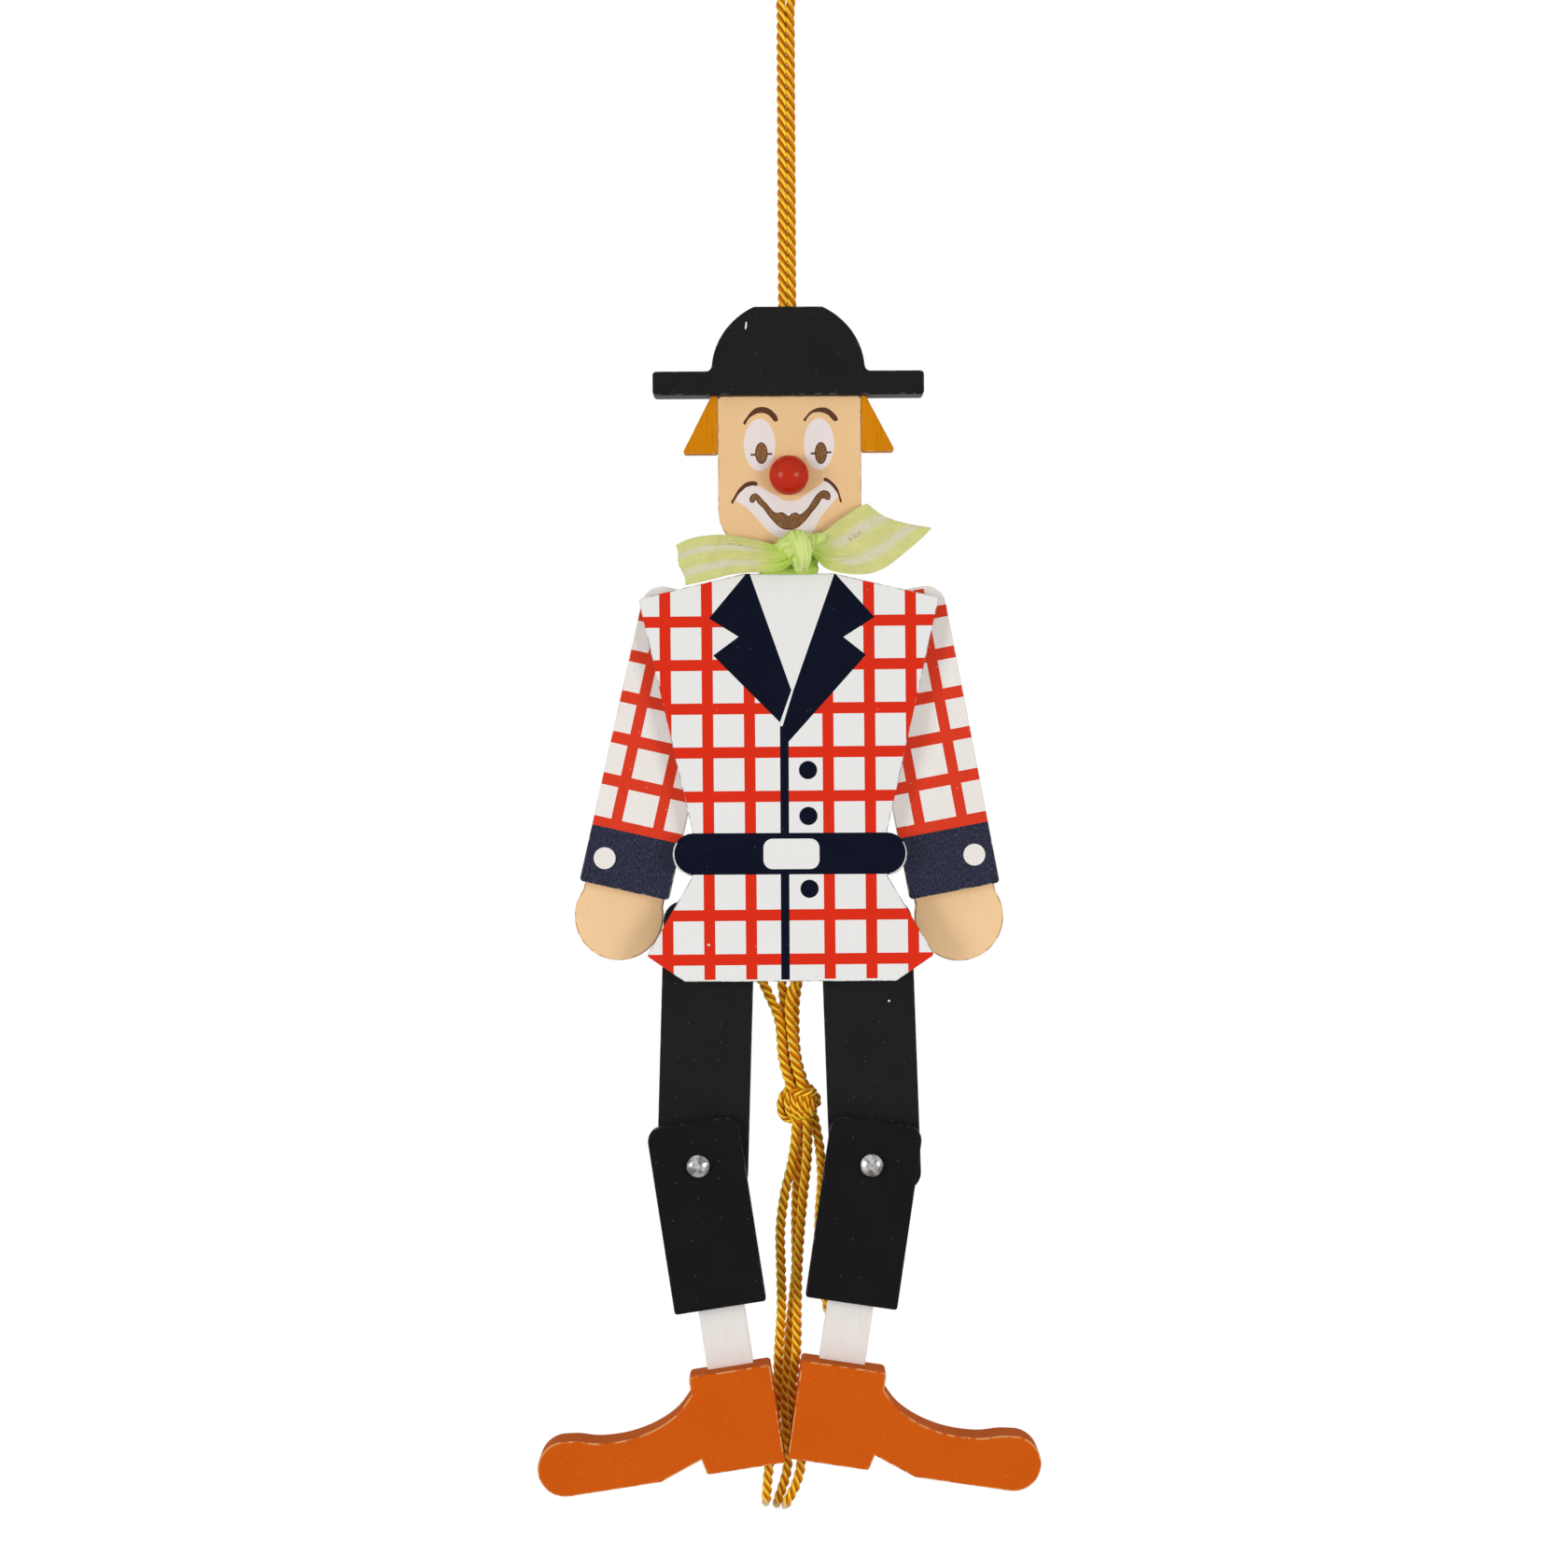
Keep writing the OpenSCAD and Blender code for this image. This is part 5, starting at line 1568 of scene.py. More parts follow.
@dataclass
class Head:
    """Head board with its painted face, hat, hair and nose."""

    # Contours of the painted face, each chosen from an enlarged view
    brow_left: Outline = (
        (-11.6, -133.7), (-11.9, -133.05), (-10.99, -131.75), (-10.15, -130.58), (-8.97, -129.5),
        (-7.97, -129.08), (-6.8, -128.97), (-5.64, -129.13), (-4.47, -129.75), (-3.56, -130.58),
        (-2.9, -131.42), (-2.6, -132.33), (-2.74, -132.75), (-3.24, -132.95), (-3.74, -132.75),
        (-4.32, -132.0),
        (-5.15, -131.17), (-5.98, -130.75), (-6.81, -130.62), (-7.98, -130.7), (-8.98, -131.08),
        (-9.98, -131.72), (-10.55, -132.3), (-10.98, -132.95), (-11.2, -133.55))
    brow_right: Outline = (
        (4.5, -132.85), (4.2, -132.4), (5.02, -131.42), (5.86, -130.42), (6.86, -129.75), (8.03, -129.3),
        (9.2, -129.17), (10.36, -129.3), (11.36, -129.83), (12.35, -130.67), (13.1, -131.58),
        (13.48, -132.42), (13.26, -132.7), (12.71, -132.95), (12.18, -132.67), (11.51, -131.92),
        (10.85, -131.25),
        (9.85, -130.75), (8.69, -130.45), (7.69, -130.47), (6.52, -130.75), (5.72, -131.43), (5.14, -132.18),
        (4.86, -132.78))
    cheek_left: Outline = (
        (-15.05, -154.9), (-15.25, -154.3), (-14.68, -153.33), (-14.01, -152.17), (-13.34, -151.08),
        (-12.33, -150.0), (-11.16, -149.17), (-9.99, -148.87), (-8.99, -148.87), (-8.41, -149.13),
        (-8.08, -149.63), (-8.33, -150.0), (-8.75, -150.13), (-9.33, -150.0), (-10.33, -150.2),
        (-11.33, -150.58), (-12.34, -151.42), (-13.18, -152.25), (-13.85, -153.17), (-14.42, -154.1),
        (-14.75, -154.8))
    cheek_right: Outline = (
        (9.54, -148.42), (9.88, -148.0), (10.68, -148.25), (11.67, -149.0), (12.67, -150.0), (13.41, -151.17),
        (13.82, -152.33), (14.15, -153.5), (14.4, -154.35), (14.1, -154.75), (13.7, -153.95), (13.49, -153.0),
        (13.16, -152.17), (12.5, -151.17), (11.67, -150.17), (10.84, -149.42), (10.01, -149.0),
        (9.62, -148.92))
    mouth_field: Outline = (
        (-13.94, -154.08), (-13.18, -152.33), (-12.34, -151.5), (-11.33, -150.58), (-10.0, -150.0),
        (-8.66, -150.0), (-7.33, -150.37), (-6.0, -151.17), (-5.01, -151.83), (-3.01, -152.83),
        (-1.85, -153.67), (-0.35, -154.13), (0.98, -154.17), (2.65, -153.83), (4.32, -152.83),
        (5.99, -151.67),
        (7.67, -150.5), (9.01, -149.5), (9.62, -148.92), (10.84, -149.42), (11.67, -150.17), (12.5, -151.17),
        (13.16, -152.17), (13.4, -153.0), (11.89, -154.75), (10.89, -156.0), (8.88, -158.25), (8.37, -159.25),
        (7.11, -161.5), (5.35, -163.25), (2.09, -164.25), (-1.65, -164.0), (-3.4, -163.62), (-5.64, -162.0),
        (-7.38, -160.0), (-9.37, -157.75), (-11.36, -155.75), (-13.35, -154.5))
    mouth: Outline = (
        (-10.27, -154.25), (-10.35, -153.67), (-10.18, -153.0), (-9.68, -152.42), (-9.01, -152.13),
        (-8.43, -152.17), (-7.76, -152.67), (-6.6, -154.0), (-5.61, -155.0), (-4.61, -156.25),
        (-3.37, -157.32),
        (-1.87, -157.18), (-0.87, -157.55), (0.13, -158.25), (0.88, -157.62), (2.13, -157.28), (3.25, -157.8),
        (5.14, -156.25), (5.98, -155.0), (6.82, -153.67), (7.66, -152.5), (8.66, -151.67), (9.5, -151.33),
        (10.33, -151.47), (10.99, -151.92), (11.36, -152.67), (11.35, -153.33), (11.07, -153.92),
        (10.48, -154.0), (9.82, -153.7), (9.15, -153.58), (8.9, -153.83), (8.31, -154.83), (7.3, -156.25),
        (6.38, -157.25), (4.87, -159.25), (2.86, -161.12), (1.36, -161.8), (-0.02, -161.93), (-1.39, -161.7),
        (-2.89, -160.75), (-4.88, -158.62), (-6.61, -156.25), (-7.03, -155.83), (-8.02, -154.83),
        (-8.68, -153.92), (-8.94, -154.33), (-9.36, -154.63), (-9.85, -154.62))
    mouth_rim: float = 0.28
    eyes: tuple[tuple[float, ...], ...] = ((-7.57, -139.12, 4.2, 6.97), (8.35, -138.95, 4.05, 6.9))
    pupils: tuple[tuple[float, ...], ...] = ((-7.09, -141.35, 1.7, 2.9), (8.84, -141.4, 1.66, 2.96))
    pupil_rim: float = 0.3
    dashes: tuple[tuple[Point, Point], ...] = (
        ((-9.99, -141.8), (-4.19, -141.55)), ((6.09, -141.55), (11.67, -141.18)))
    dash_w: float = 0.54
    hat_chip: Outline = (
        (-11.15, -106.6), (-10.75, -106.5), (-10.8, -107.9), (-11.1, -108.6), (-11.35, -108.3))
    peg_r: float = 1.5
    nose_seat: float = -2.0
    nose_steps: int = 22

    def face(self) -> list[Region]:
        """Lay the painted face.

        Returns:
            Its regions, from the ground up.
        """
        regions = [("face_white", ellipse(*eye)) for eye in self.eyes]
        regions.append(("face_white", smooth_loop(self.mouth_field)))
        regions += [("face_dark", smooth_loop(brow)) for brow in (self.brow_left, self.brow_right)]
        regions += [("face_dark", band(start, end, self.dash_w)) for start, end in self.dashes]
        for x, z, wide, high in self.pupils:
            rim = self.pupil_rim
            regions.append(("face_dark", ellipse(x, z, wide, high, PUPIL_SIDES)))
            regions.append(("face_brown", ellipse(x, z, wide - rim, high - rim, PUPIL_SIDES)))
        loops = [smooth_loop(loop) for loop in (self.cheek_left, self.cheek_right, self.mouth)]
        regions += [("face_dark", loop) for loop in loops]
        # The mouth's contour turns right, so a distance below 0 draws it in
        regions.append(("face_brown", drawn_in(loops[-1], -self.mouth_rim)))
        return regions

    def nose(self) -> Turned:
        """Shape the bead of the nose with its peg.

        Returns:
            The bead, which fills its node's box.
        """
        low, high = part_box("nose_bead")
        radius = (high.x - low.x) / 2 / MM
        middle = low.y / MM + radius
        seat, peg = self.nose_seat, self.peg_r
        profile = [(0.0, low.y / MM)]
        for k in range(1, self.nose_steps):
            turn = math.pi * k / self.nose_steps
            depth = middle - radius * math.cos(turn)
            if depth > seat:
                break
            profile.append((radius * math.sin(turn), depth))
        profile += [(profile[-1][0], seat), (peg, seat), (peg, high.y / MM), (0.0, high.y / MM)]
        centre = ((low.x + high.x) / 2 / MM, (low.z + high.z) / 2 / MM)
        return Turned("nose_bead_lacquered", "torso", "painted_nose", "nose_red", centre, profile,
                      ["nose_bead"])

    def build(self, palette: Palette) -> None:
        """Build the head, hat, hair and nose.

        Args:
            palette: where the finishes come from.
        """
        Board("head_block", "torso", "painted_skin", "skin", "skin_side", "skin_side", self.face(),
              rounding=0.45).build(palette)
        Board("hat_board", "torso", "painted_black", "jet", "jet_side", "jet",
              [("chip", self.hat_chip)], rounding=0.5).build(palette)
        for side in Side:
            Board("hair_" + side.word, "torso", "painted_hair", "hair_orange", "hair_side", "hair_side",
                  rounding=0.3).build(palette)
        self.nose().build(palette)


@dataclass(frozen=True)
class Tail:
    """Where one tail of the ribbon lies, from the knot to its cut end."""

    side: Side
    upper: Path
    lower: Path
    seed: float
    hollow: float
    snag: tuple[float, float, float]


LEFT_TAIL = Tail(
    Side.LEFT,
    ((0.4, -6.2, -165.9), (-2.4, -5.3, -166.4), (-4.5, -4.9, -166.1), (-7.4, -4.6, -165.2),
     (-10.3, -4.3, -164.5), (-13.8, -3.9, -163.7), (-17.4, -3.6, -163.3), (-21, -3.2, -163.4),
     (-24.6, -2.9, -163.9), (-28.1, -2.8, -164.9), (-30.3, -2.8, -166)),
    ((1.0, -6.4, -171.3), (-1.6, -5.6, -172.9), (-6, -4.8, -173.4), (-12, -4, -173.6), (-15.6, -3.7, -174.0),
     (-19.2, -3.3, -174.9), (-23.5, -3, -175.9), (-27.6, -2.8, -176.7)),
    3.7, 0.0, (0.24, 0.42, 0.56))
RIGHT_TAIL = Tail(
    Side.RIGHT,
    ((5.0, -6.4, -166.4), (6.8, -5.6, -164.9), (8.4, -5, -163.4), (10.5, -4.7, -162.2), (13, -4.3, -160.1),
     (15.5, -3.9, -158.3), (18.7, -3.3, -156), (20.9, -2.9, -155.1)),
    ((5.2, -6.2, -168.5), (6.2, -5.6, -169.1), (7.7, -5.2, -170.4), (9.8, -4.8, -172.4), (12, -4.5, -173.3),
     (14.8, -4.1, -173.8), (18.4, -3.8, -174.1), (22, -3.5, -173.8), (25.9, -3.3, -172.3),
     (29.6, -3.1, -169.6), (33.2, -2.9, -166.7), (36.4, -2.8, -164.0), (38.8, -2.8, -161.7)),
    8.2, 1.7, (0.33, 0.5, 0.66))


@dataclass
class Ribbon:
    """The sheer ribbon: a band round the neck, a knot and two tails."""

    knot_at: Place = (3.5, -5.2, -167.8)
    knot_rim: Outline = (
        (6.5, 4.3), (6.1, 2.6), (4.5, 1.4), (3.4, 0.4), (2.9, -1.1), (2.5, -2.4), (1.9, -4.1), (1.4, -5.7),
        (-1.25, -5.8), (-2.5, -3.9), (-4.2, -1.7), (-5.6, -0.3), (-7.0, 0.7), (-7.4, 1.6), (-6.1, 2.9),
        (-4.6, 4.1), (-3.3, 5.3), (-2.1, 5.7), (0, 5.5), (2.7, 4.7), (5.1, 4.8))
    knot_rings: tuple[int, int] = (20, 8)
    knot_front: float = 3.1
    knot_back: float = 2.4
    knot_crease: float = 0.85
    pinch: Point = (3.3, -0.4)
    fold_route: Path = (
        (2.1, -5.0, -162.9), (2.4, -7.6, -162.8), (2.9, -9.2, -164.4), (3.5, -9.9, -166.8),
        (3.9, -9.8, -169.1), (4.0, -8.9, -171.4), (3.7, -7.2, -173.1), (3.6, -4.8, -173.5))
    fold_grid: tuple[int, int] = (48, 33)
    fold_w: float = 5.4
    fold_taper: float = 0.6
    fold_waist: float = 2.6
    fold_waist_from: float = 0.45
    fold_drop: float = 1.7
    fold_cloth_w: float = 9.0
    band_top: float = -167.3
    band_foot: float = -173.75
    band_low: Point = (-7.75, -2.85)
    band_high: Point = (7.75, 6.85)
    band_corner: float = 1.4
    band_columns: int = 17
    band_cloth: Point = (46.0, 8.0)
    tail_grid: tuple[int, int] = (64, 81)
    tail_crease_near: float = 1.25
    tail_crease_far: float = 0.5
    tail_billow: float = 0.4
    tail_crinkle: float = 0.1
    tail_cloth_w: float = 15.0
    edge_step: float = 0.2
    thickness: float = 0.16
    width: float = 0.014

    def _cloth(self, draft: Draft, grid: list[list[Vector]], finish: str, marks: list[list[dict[str, float]]],
               size: Point) -> None:
        """Add a thin closed sheet over a grid of points.

        Args:
            draft: the mesh to add to.
            grid: rows of points along the ribbon, each across it.
            finish: name of its finish.
            marks: the numbers that each point carries.
            size: length and width in millimetres, for the weave.
        """
        rows, count = len(grid), len(grid[0])
        faces: list[list[list[int]]] = [[], []]
        for i in range(rows):
            lines: list[list[int]] = [[], []]
            for j in range(count):
                along = grid[min(i + 1, rows - 1)][j] - grid[max(i - 1, 0)][j]
                over = grid[i][min(j + 1, count - 1)] - grid[i][max(j - 1, 0)]
                normal = along.cross(over).normalized() * self.thickness / 2
                for layer, sign in enumerate((1, -1)):
                    lines[layer].append(draft.point(grid[i][j] + normal * sign, **marks[i][j]))
            for layer in (0, 1):
                faces[layer].append(lines[layer])
        spots = [[(size[0] * i / (rows - 1), size[1] * j / (count - 1)) for j in range(count)]
                 for i in range(rows)]
        for i in range(rows - 1):
            for j in range(count - 1):
                cell = [(i, j), (i + 1, j), (i + 1, j + 1), (i, j + 1)]
                for layer, order in enumerate((cell, cell[::-1])):
                    corners = [faces[layer][a][b] for a, b in order]
                    draft.face(corners, finish, (), [spots[a][b] for a, b in order])
        rim = [(0, j) for j in range(count)] + [(i, count - 1) for i in range(1, rows)]
        rim += [(rows - 1, j) for j in range(count - 2, -1, -1)] + [(i, 0) for i in range(rows - 2, 0, -1)]
        for a, b in zip(rim, [*rim[1:], rim[0]]):
            order = ((0, a), (0, b), (1, b), (1, a))
            corners = [faces[layer][i][j] for layer, (i, j) in order]
            draft.face(corners, finish, (), [spots[i][j] for _, (i, j) in order])

    @staticmethod
    def _crease(u: float, v: float, seed: float) -> float:
        """Gather the cloth in ridges that run along it.

        Args:
            u: how far along the cloth, 0 to 1.
            v: how far across it, 0 to 1.
            seed: which ridges to take.

        Returns:
            Height of the cloth, 0 to 1.
        """
        place = Vector((u * 1.5, v * 5.2, seed))
        ridges = 1 - 1.9 * abs(noise.noise(place)) - 0.7 * abs(noise.noise(place * 2.6))
        return min(1.0, max(0.0, ridges))

    def _tail(self, palette: Palette, tail: Tail) -> tuple[bpy.types.Object, float]:
        """Build one tail as a sheet that is creased at the knot and opens out.

        Args:
            palette: where the finishes come from.
            tail: which tail, and where it lies.

        Returns:
            The tail and its length.
        """
        rows, count = self.tail_grid
        edges = [Route(tail.upper, self.edge_step), Route(tail.lower, self.edge_step)]
        grid, marks = [], []
        across, start, stop = tail.snag
        for i in range(rows):
            u = i / (rows - 1)
            ends = [edge.spot(u)[0] for edge in edges]
            calm = min(1.0, u / 0.85) ** 0.8
            line, notes = [], []
            for j in range(count):
                v = j / (count - 1)
                crease = self._crease(u, v, tail.seed)
                sweep = 0.5 + 0.5 * math.cos(2 * math.pi * (1.2 * v + 0.4 * u) + tail.seed)
                crinkle = noise.noise(Vector((u * 9, v * 14, tail.seed)))
                height = self.tail_crease_near * crease * (1 - calm) + self.tail_crease_far * crease * calm
                height += self.tail_billow * sweep * calm + self.tail_crinkle * crinkle
                frayed = noise.noise(Vector((v * 22, 0, 1)))
                ragged = 0.35 * math.sin(9 * v + tail.seed) * u**6 + 0.25 * frayed * u**8
                sag = tail.hollow * math.sin(math.pi * v**0.8) * u**5
                line.append(ends[0].lerp(ends[1], v) + Vector((tail.side.value * ragged, -height, -sag)))
                # Crease valleys carry a number that darkens them in the finish: painted shade
                notes.append({
                    "across": v,
                    "gather": max(0.0, 1 - u / 0.4) ** 1.1,
                    "pleat": (1 - crease) * (1 - 0.75 * calm),
                    "snag": float(abs(v - across) < 0.035 and start < u < stop),
                })
            grid.append(line)
            marks.append(notes)
        if tail.side is Side.RIGHT:
            grid = [line[::-1] for line in grid]
            marks = [line[::-1] for line in marks]
        length = (edges[0].length + edges[1].length) / 2
        draft = Draft(f"ribbon_tail_{tail.side.word}_sheer")
        self._cloth(draft, grid, "green_sheer", marks, (length, self.tail_cloth_w))
        made = draft.piece(palette, "torso", [f"ribbon_tail_{tail.side.word}"])
        return made, length

    def _wrinkle(self, x: float, z: float) -> float:
        """Crease the knot: slanting on its left, and out from the pinch on its right.

        Args:
            x: place across the knot, from its middle.
            z: place up the knot, from its middle.

        Returns:
            Height of the crease, about 0 to 1.
        """
        slanting = Vector((0.62 * x - 0.72 * z, 0.12 * (x + z), 3.0))
        turn = math.atan2(z - self.pinch[1], x - self.pinch[0])
        radiating = Vector((2.3 * turn, 0.1 * (x + z), 7.0))
        share = min(1.0, max(0.0, (x + 0.8) / 2.2))
        heights = [1 - 1.7 * abs(noise.noise(p)) - 0.6 * abs(noise.noise(p * 2.3))
                   for p in (slanting, radiating)]
        return heights[0] * (1 - share) + heights[1] * share

    def _knot(self, palette: Palette) -> bpy.types.Object:
        """Build the tied knot: a creased lump and the fold of ribbon across it.

        Args:
            palette: where the finishes come from.

        Returns:
            The knot.
        """
        draft = Draft("ribbon_knot_tied")
        middle = Vector(self.knot_at)
        rim = smooth_loop(self.knot_rim, 6)
        front, back = self.knot_rings
        shares = [(k / front, True) for k in range(1, front + 1)]
        shares += [(1 - k / back, False) for k in range(1, back)]
        rings = []
        for share, in_front in shares:
            ring = []
            for x, z in rim:
                x, z = x * share, z * share
                bulge = math.sqrt(max(0.0, 1 - share**2.6)) * (1 - 0.006 * (x * x + z * z))
                crease = self._wrinkle(x, z)
                out = bulge * self.knot_back
                if in_front:
                    out = -bulge * self.knot_front - crease * self.knot_crease * (1 - share**5)
                # Low crease valleys on the knot take more of the gathered green and a darker colour: painted
                # shade
                notes = {"gather": 0.95 - 0.75 * crease, "pleat": max(0.0, 0.8 - crease), "across": 0.5}
                ring.append(draft.point(middle + Vector((x, out, z)), **notes))
            rings.append(ring)
        out = -self.knot_front - self._wrinkle(0, 0) * self.knot_crease
        tip = draft.point(middle + Vector((0, out, 0)), gather=0.3)
        foot = draft.point(middle + Vector((0, self.knot_back, 0)), gather=0.6)
        count = len(rim)
        for i, (inner, outer) in enumerate(zip(rings, rings[1:])):
            for k in range(count):
                n = (k + 1) % count
                weave = [(0.3 * a, 0.3 * b) for a, b in ((k, i), (k + 1, i), (k + 1, i + 1), (k, i + 1))]
                draft.face([inner[k], inner[n], outer[n], outer[k]], "green_knot", (), weave)
        for k in range(count):
            n = (k + 1) % count
            draft.face([tip, rings[0][n], rings[0][k]], "green_knot", (), [(0.0, 0.0)] * 3)
            draft.face([foot, rings[-1][k], rings[-1][n]], "green_knot", (), [(0.0, 0.0)] * 3)
        self._turn(draft)
        return draft.piece(palette, "torso", ["ribbon_knot"])

    def _turn(self, draft: Draft) -> None:
        """Add the fold of ribbon that crosses the knot's front, wide above and narrow below.

        Args:
            draft: the knot's mesh.
        """
        spine = Route(self.fold_route, self.edge_step)
        rows, count = self.fold_grid
        waist_from = self.fold_waist_from
        grid, marks = [], []
        for i in range(rows):
            u = i / (rows - 1)
            spot, ahead = spine.spot(u)
            over = Vector((1, 0, 0)) - ahead * ahead.x
            over.normalize()
            out = over.cross(ahead)
            narrowed = self.fold_waist * max(0.0, u - waist_from) / (1 - waist_from)
            width = self.fold_w - self.fold_taper * u - narrowed
            line, notes = [], []
            for j in range(count):
                v = j / (count - 1)
                crease = self._crease(0.5 * u, 0.62 * v, 5.5)
                drop = abs(2 * v - 1) ** 2.6 * self.fold_drop
                line.append(spot + over * (v - 0.5) * width + out * (drop - crease * 0.5))
                # Low crease valleys on the fold take more of the gathered green and a darker colour: painted
                # shade
                notes.append({"across": v, "gather": 0.55 - 0.5 * crease, "pleat": 0.5 * (1 - crease)})
            grid.append(line)
            marks.append(notes)
        self._cloth(draft, grid, "green_knot", marks, (spine.length, self.fold_cloth_w))

    def _band(self, palette: Palette) -> bpy.types.Object:
        """Build the gathered band that goes round the neck strip.

        Args:
            palette: where the finishes come from.

        Returns:
            The band.
        """
        outline = oblong(self.band_low, self.band_high, self.band_corner, 6)
        outline = outline[len(outline) // 2:] + outline[: len(outline) // 2]
        middle_y = (self.band_low[1] + self.band_high[1]) / 2
        rows, count = len(outline) + 1, self.band_columns
        grid, marks = [], []
        for i in range(rows):
            x, y = outline[i % len(outline)]
            line, notes = [], []
            for j in range(count):
                v = j / (count - 1)
                fold = 0.22 * math.sin(2 * math.pi * 3 * v + 0.35 * math.sin(i * 0.9))
                out = Vector((x, y - middle_y, 0)).normalized()
                z = self.band_top + (self.band_foot - self.band_top) * v + 0.2 * math.sin(i * 0.7)
                line.append(Vector((x, y, z)) + out * (fold + 0.1))
                # The band's colour follows the height of its folds: painted shade
                notes.append({"across": v, "gather": 0.7, "pleat": 0.5 + fold})
            grid.append(line)
            marks.append(notes)
        draft = Draft("ribbon_band_gathered")
        self._cloth(draft, grid, "green_knot", marks, self.band_cloth)
        return draft.piece(palette, "torso", ["ribbon_band"])

    def build(self, palette: Palette) -> None:
        """Build the ribbon's knot, band and tails.

        Args:
            palette: where the finishes come from.
        """
        knot = self._knot(palette)
        neck_band = self._band(palette)
        left, left_length = self._tail(palette, LEFT_TAIL)
        right, right_length = self._tail(palette, RIGHT_TAIL)


@dataclass
class Arm:
    """One sleeve with its printed check and cuff, and the hand behind it."""

    side: Side
    shoulder_z: float = -190.0
    span_half: float = 30.3
    aside: float = 1.2
    hangs: tuple[float, float] = (12.9, 10.6)
    cross_w: float = 3.2
    long_w: float = 2.95
    cuff_end: float = 70.3
    cuff_tops: tuple[float, float] = (54.7, 53.55)
    crossings: tuple[tuple[float, ...], ...] = (
        (53.7, 41.85, 30.4, 19.2, 8.0, -3.2), (52.2, 40.35, 28.85, 17.65, 6.8, -4.5))
    long_stripes: tuple[Point, Point] = ((6.1, -5.4), (5.65, -5.9))
    long_starts: tuple[float, float] = (-6.0, -11.4)
    buttons: tuple[Point, Point] = ((62.9, 7.0), (61.65, 7.0))
    button_r: float = 2.95
    button_rim: float = 0.2
    print_half: float = 16.0
    print_end: float = 75.0
    long_end: float = 60.0

    def spot(self, along: float, out: float) -> Point:
        """Find a point of the arm.

        Args:
            along: how far down the arm from the shoulder.
            out: how far across it, away from the figure.

        Returns:
            The point as the front view shows it.
        """
        turn = math.radians(self.hangs[self.side is Side.RIGHT])
        side = self.side.value
        x = self.aside + side * (self.span_half + math.sin(turn) * along + math.cos(turn) * out)
        return (x, self.shoulder_z - math.cos(turn) * along + math.sin(turn) * out)

    def patch(self, low: Point, high: Point) -> list[Point]:
        """Contour of a rectangle in the arm's own directions."""
        corners = [(low[0], low[1]), (high[0], low[1]), (high[0], high[1]), (low[0], high[1])]
        return [self.spot(a, c) for a, c in corners]

    def print(self) -> list[Region]:
        """Lay the sleeve's print.

        Returns:
            Its regions, from the ground up.
        """
        wide, end = self.print_half, self.print_end
        which = int(self.side is Side.RIGHT)
        half = self.long_w / 2
        regions: list[Region] = []
        for across in self.long_stripes[which]:
            low, high = (self.long_starts[which], across - half), (self.long_end, across + half)
            regions.append(("sleeve_red", self.patch(low, high)))
        half = self.cross_w / 2
        for along in self.crossings[which]:
            regions.append(("sleeve_red", self.patch((along - half, -wide), (along + half, wide))))
        regions.append(("cuff_navy", self.patch((self.cuff_tops[which], -wide), (end, wide))))
        if self.side is Side.LEFT:
            regions.append(("sleeve_cream", self.patch((self.cuff_end, -wide), (end, wide))))
        x, z = self.spot(*self.buttons[which])
        for finish, rim in (("coat_navy", self.button_rim), ("cuff_button", 0.0)):
            radius = self.button_r + rim
            regions.append((finish, ellipse(x, z, radius, radius, BUTTON_SIDES)))
        return regions

    def build(self, palette: Palette) -> None:
        """Build the sleeve, the hand and the knot of its cord.

        Args:
            palette: where the finishes come from.
        """
        word = self.side.word
        body = "arm_" + word
        Board("sleeve_" + word, body, "painted_sleeve", "sleeve_cream", "sleeve_side", "coat_back",
              self.print(), rounding=0.35).build(palette)
        Board("hand_" + word, body, "painted_skin", "hand_skin", "skin_side", "hand_skin",
              rounding=0.45).build(palette)
        LimbKnot("arm_cord_stop_" + word, body).build(palette)


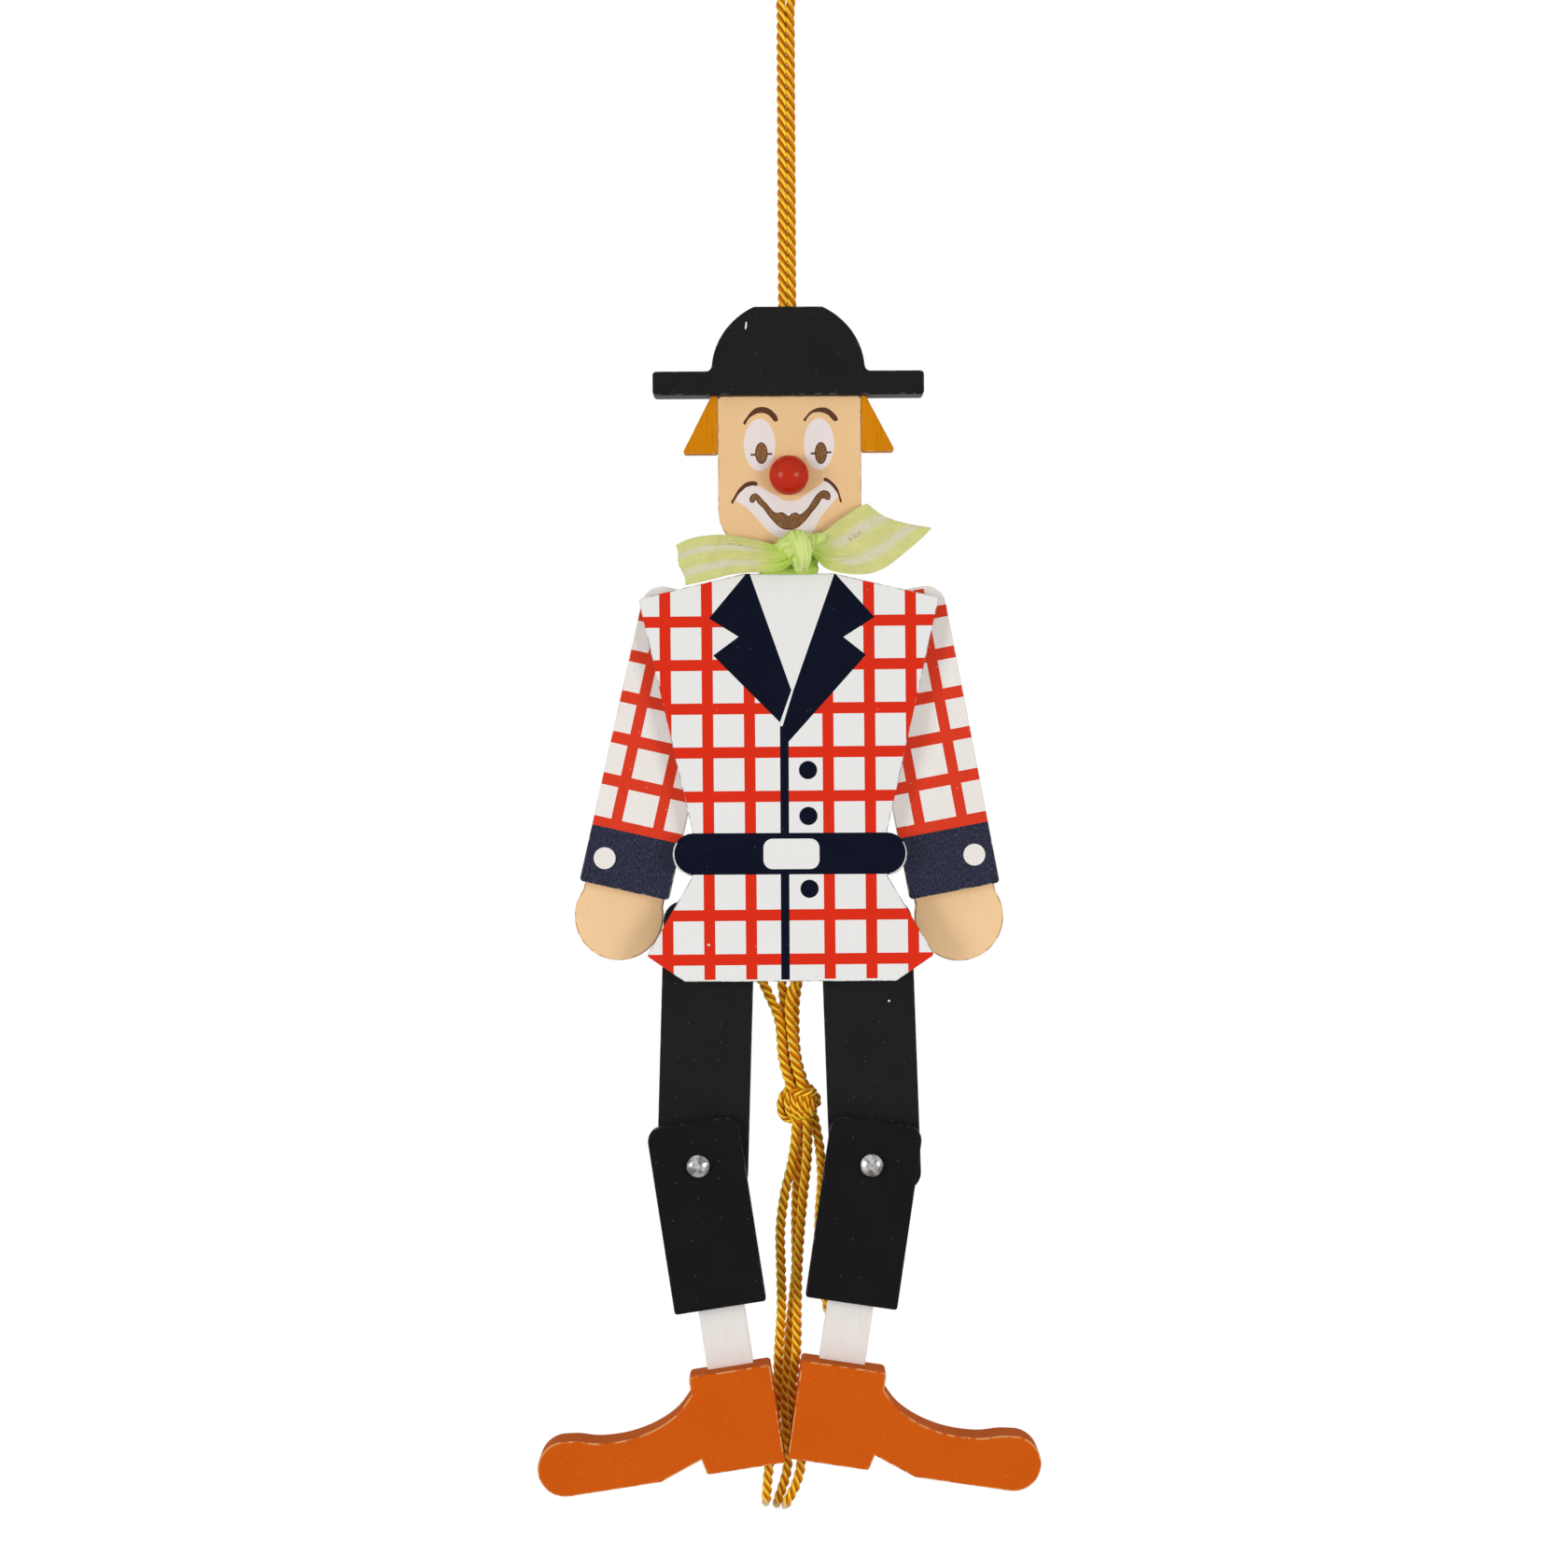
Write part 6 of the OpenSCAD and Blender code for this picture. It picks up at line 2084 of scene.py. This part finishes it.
@dataclass
class Leg:
    """Thigh, calf, sock and shoe of one leg, with the rivet of its knee."""

    side: Side
    dome: Outline = (
        (0, -4.12), (0.7, -4.08), (1.4, -3.96), (2.0, -3.74), (2.5, -3.45), (3.0, -3.07), (3.25, -2.65),
        (3.36, -2.32), (3.34, -2.12), (1.45, -2.1), (1.45, 6.9), (2.2, 6.92), (2.1, 7.5), (1.5, 7.88),
        (0, 7.9))
    dome_drop: float = 0.2
    chip: tuple[float, ...] = (26.5, -288.6, 0.35, 0.3)

    def build(self, palette: Palette) -> None:
        """Build the leg's boards, its rivet and the knot of its cord.

        Args:
            palette: where the finishes come from.
        """
        word = self.side.word
        thigh, lower = "thigh_" + word, "lower_leg_" + word
        chips = [("chip", ellipse(*self.chip, CHIP_SIDES))] if self.side is Side.RIGHT else []
        Board(thigh, thigh, "painted_black", "jet", "jet_side", "jet", chips, rounding=0.4).build(palette)
        LimbKnot("leg_cord_stop_" + word, thigh).build(palette)
        Board("calf_" + word, lower, "painted_black", "jet_deep", "jet_side", "jet_deep",
              rounding=0.4).build(palette)
        Board("sock_" + word, lower, "painted_sock", "sock_white", "sock_white", "sock_white",
              rounding=0.3).build(palette)
        Board("shoe_" + word, lower, "painted_shoe", "shoe_orange", "shoe_side", "shoe_orange",
              rounding=0.5).build(palette)
        rivet_body = next(b for b, ns in frame["record"]["behaviour"]["bodies"].items()
                          if "knee_rivet_" + word in ns)
        low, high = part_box("knee_rivet_" + word)
        centre = ((low.x + high.x) / 2 / MM, (low.z + high.z) / 2 / MM - self.dome_drop)
        Turned(f"knee_rivet_{word}_domed", rivet_body, "steel", "steel", centre, self.dome,
               ["knee_rivet_" + word]).build(palette)


class Fittings:
    """Packed steel pieces that keep their own solids."""

    STEEL_NODES = ("hat_pins", "shoulder_screws", "shoulder_washers", "hip_screws", "hip_washers",
                   "knee_washer_left", "knee_washer_right")

    def build(self, palette: Palette) -> None:
        """Give each steel node its finish.

        Args:
            palette: where the finishes come from.
        """
        for name in self.STEEL_NODES:
            node = frame["nodes"][name]
            node.data.materials.clear()
            node.data.materials.append(palette["steel"])
            LOG.info("%s: steel", name)


def main() -> None:
    """Build the scene in order, the camera and the cords first."""
    logging.basicConfig(level=logging.INFO, format="%(message)s")
    palette = Palette()
    Studio().build()
    HangingCord().build(palette)
    PullCords().build(palette)
    Torso().build(palette)
    Head().build(palette)
    Ribbon().build(palette)
    for side in Side:
        Arm(side).build(palette)
        Leg(side).build(palette)
    Fittings().build(palette)


if __name__ == "__main__":
    main()
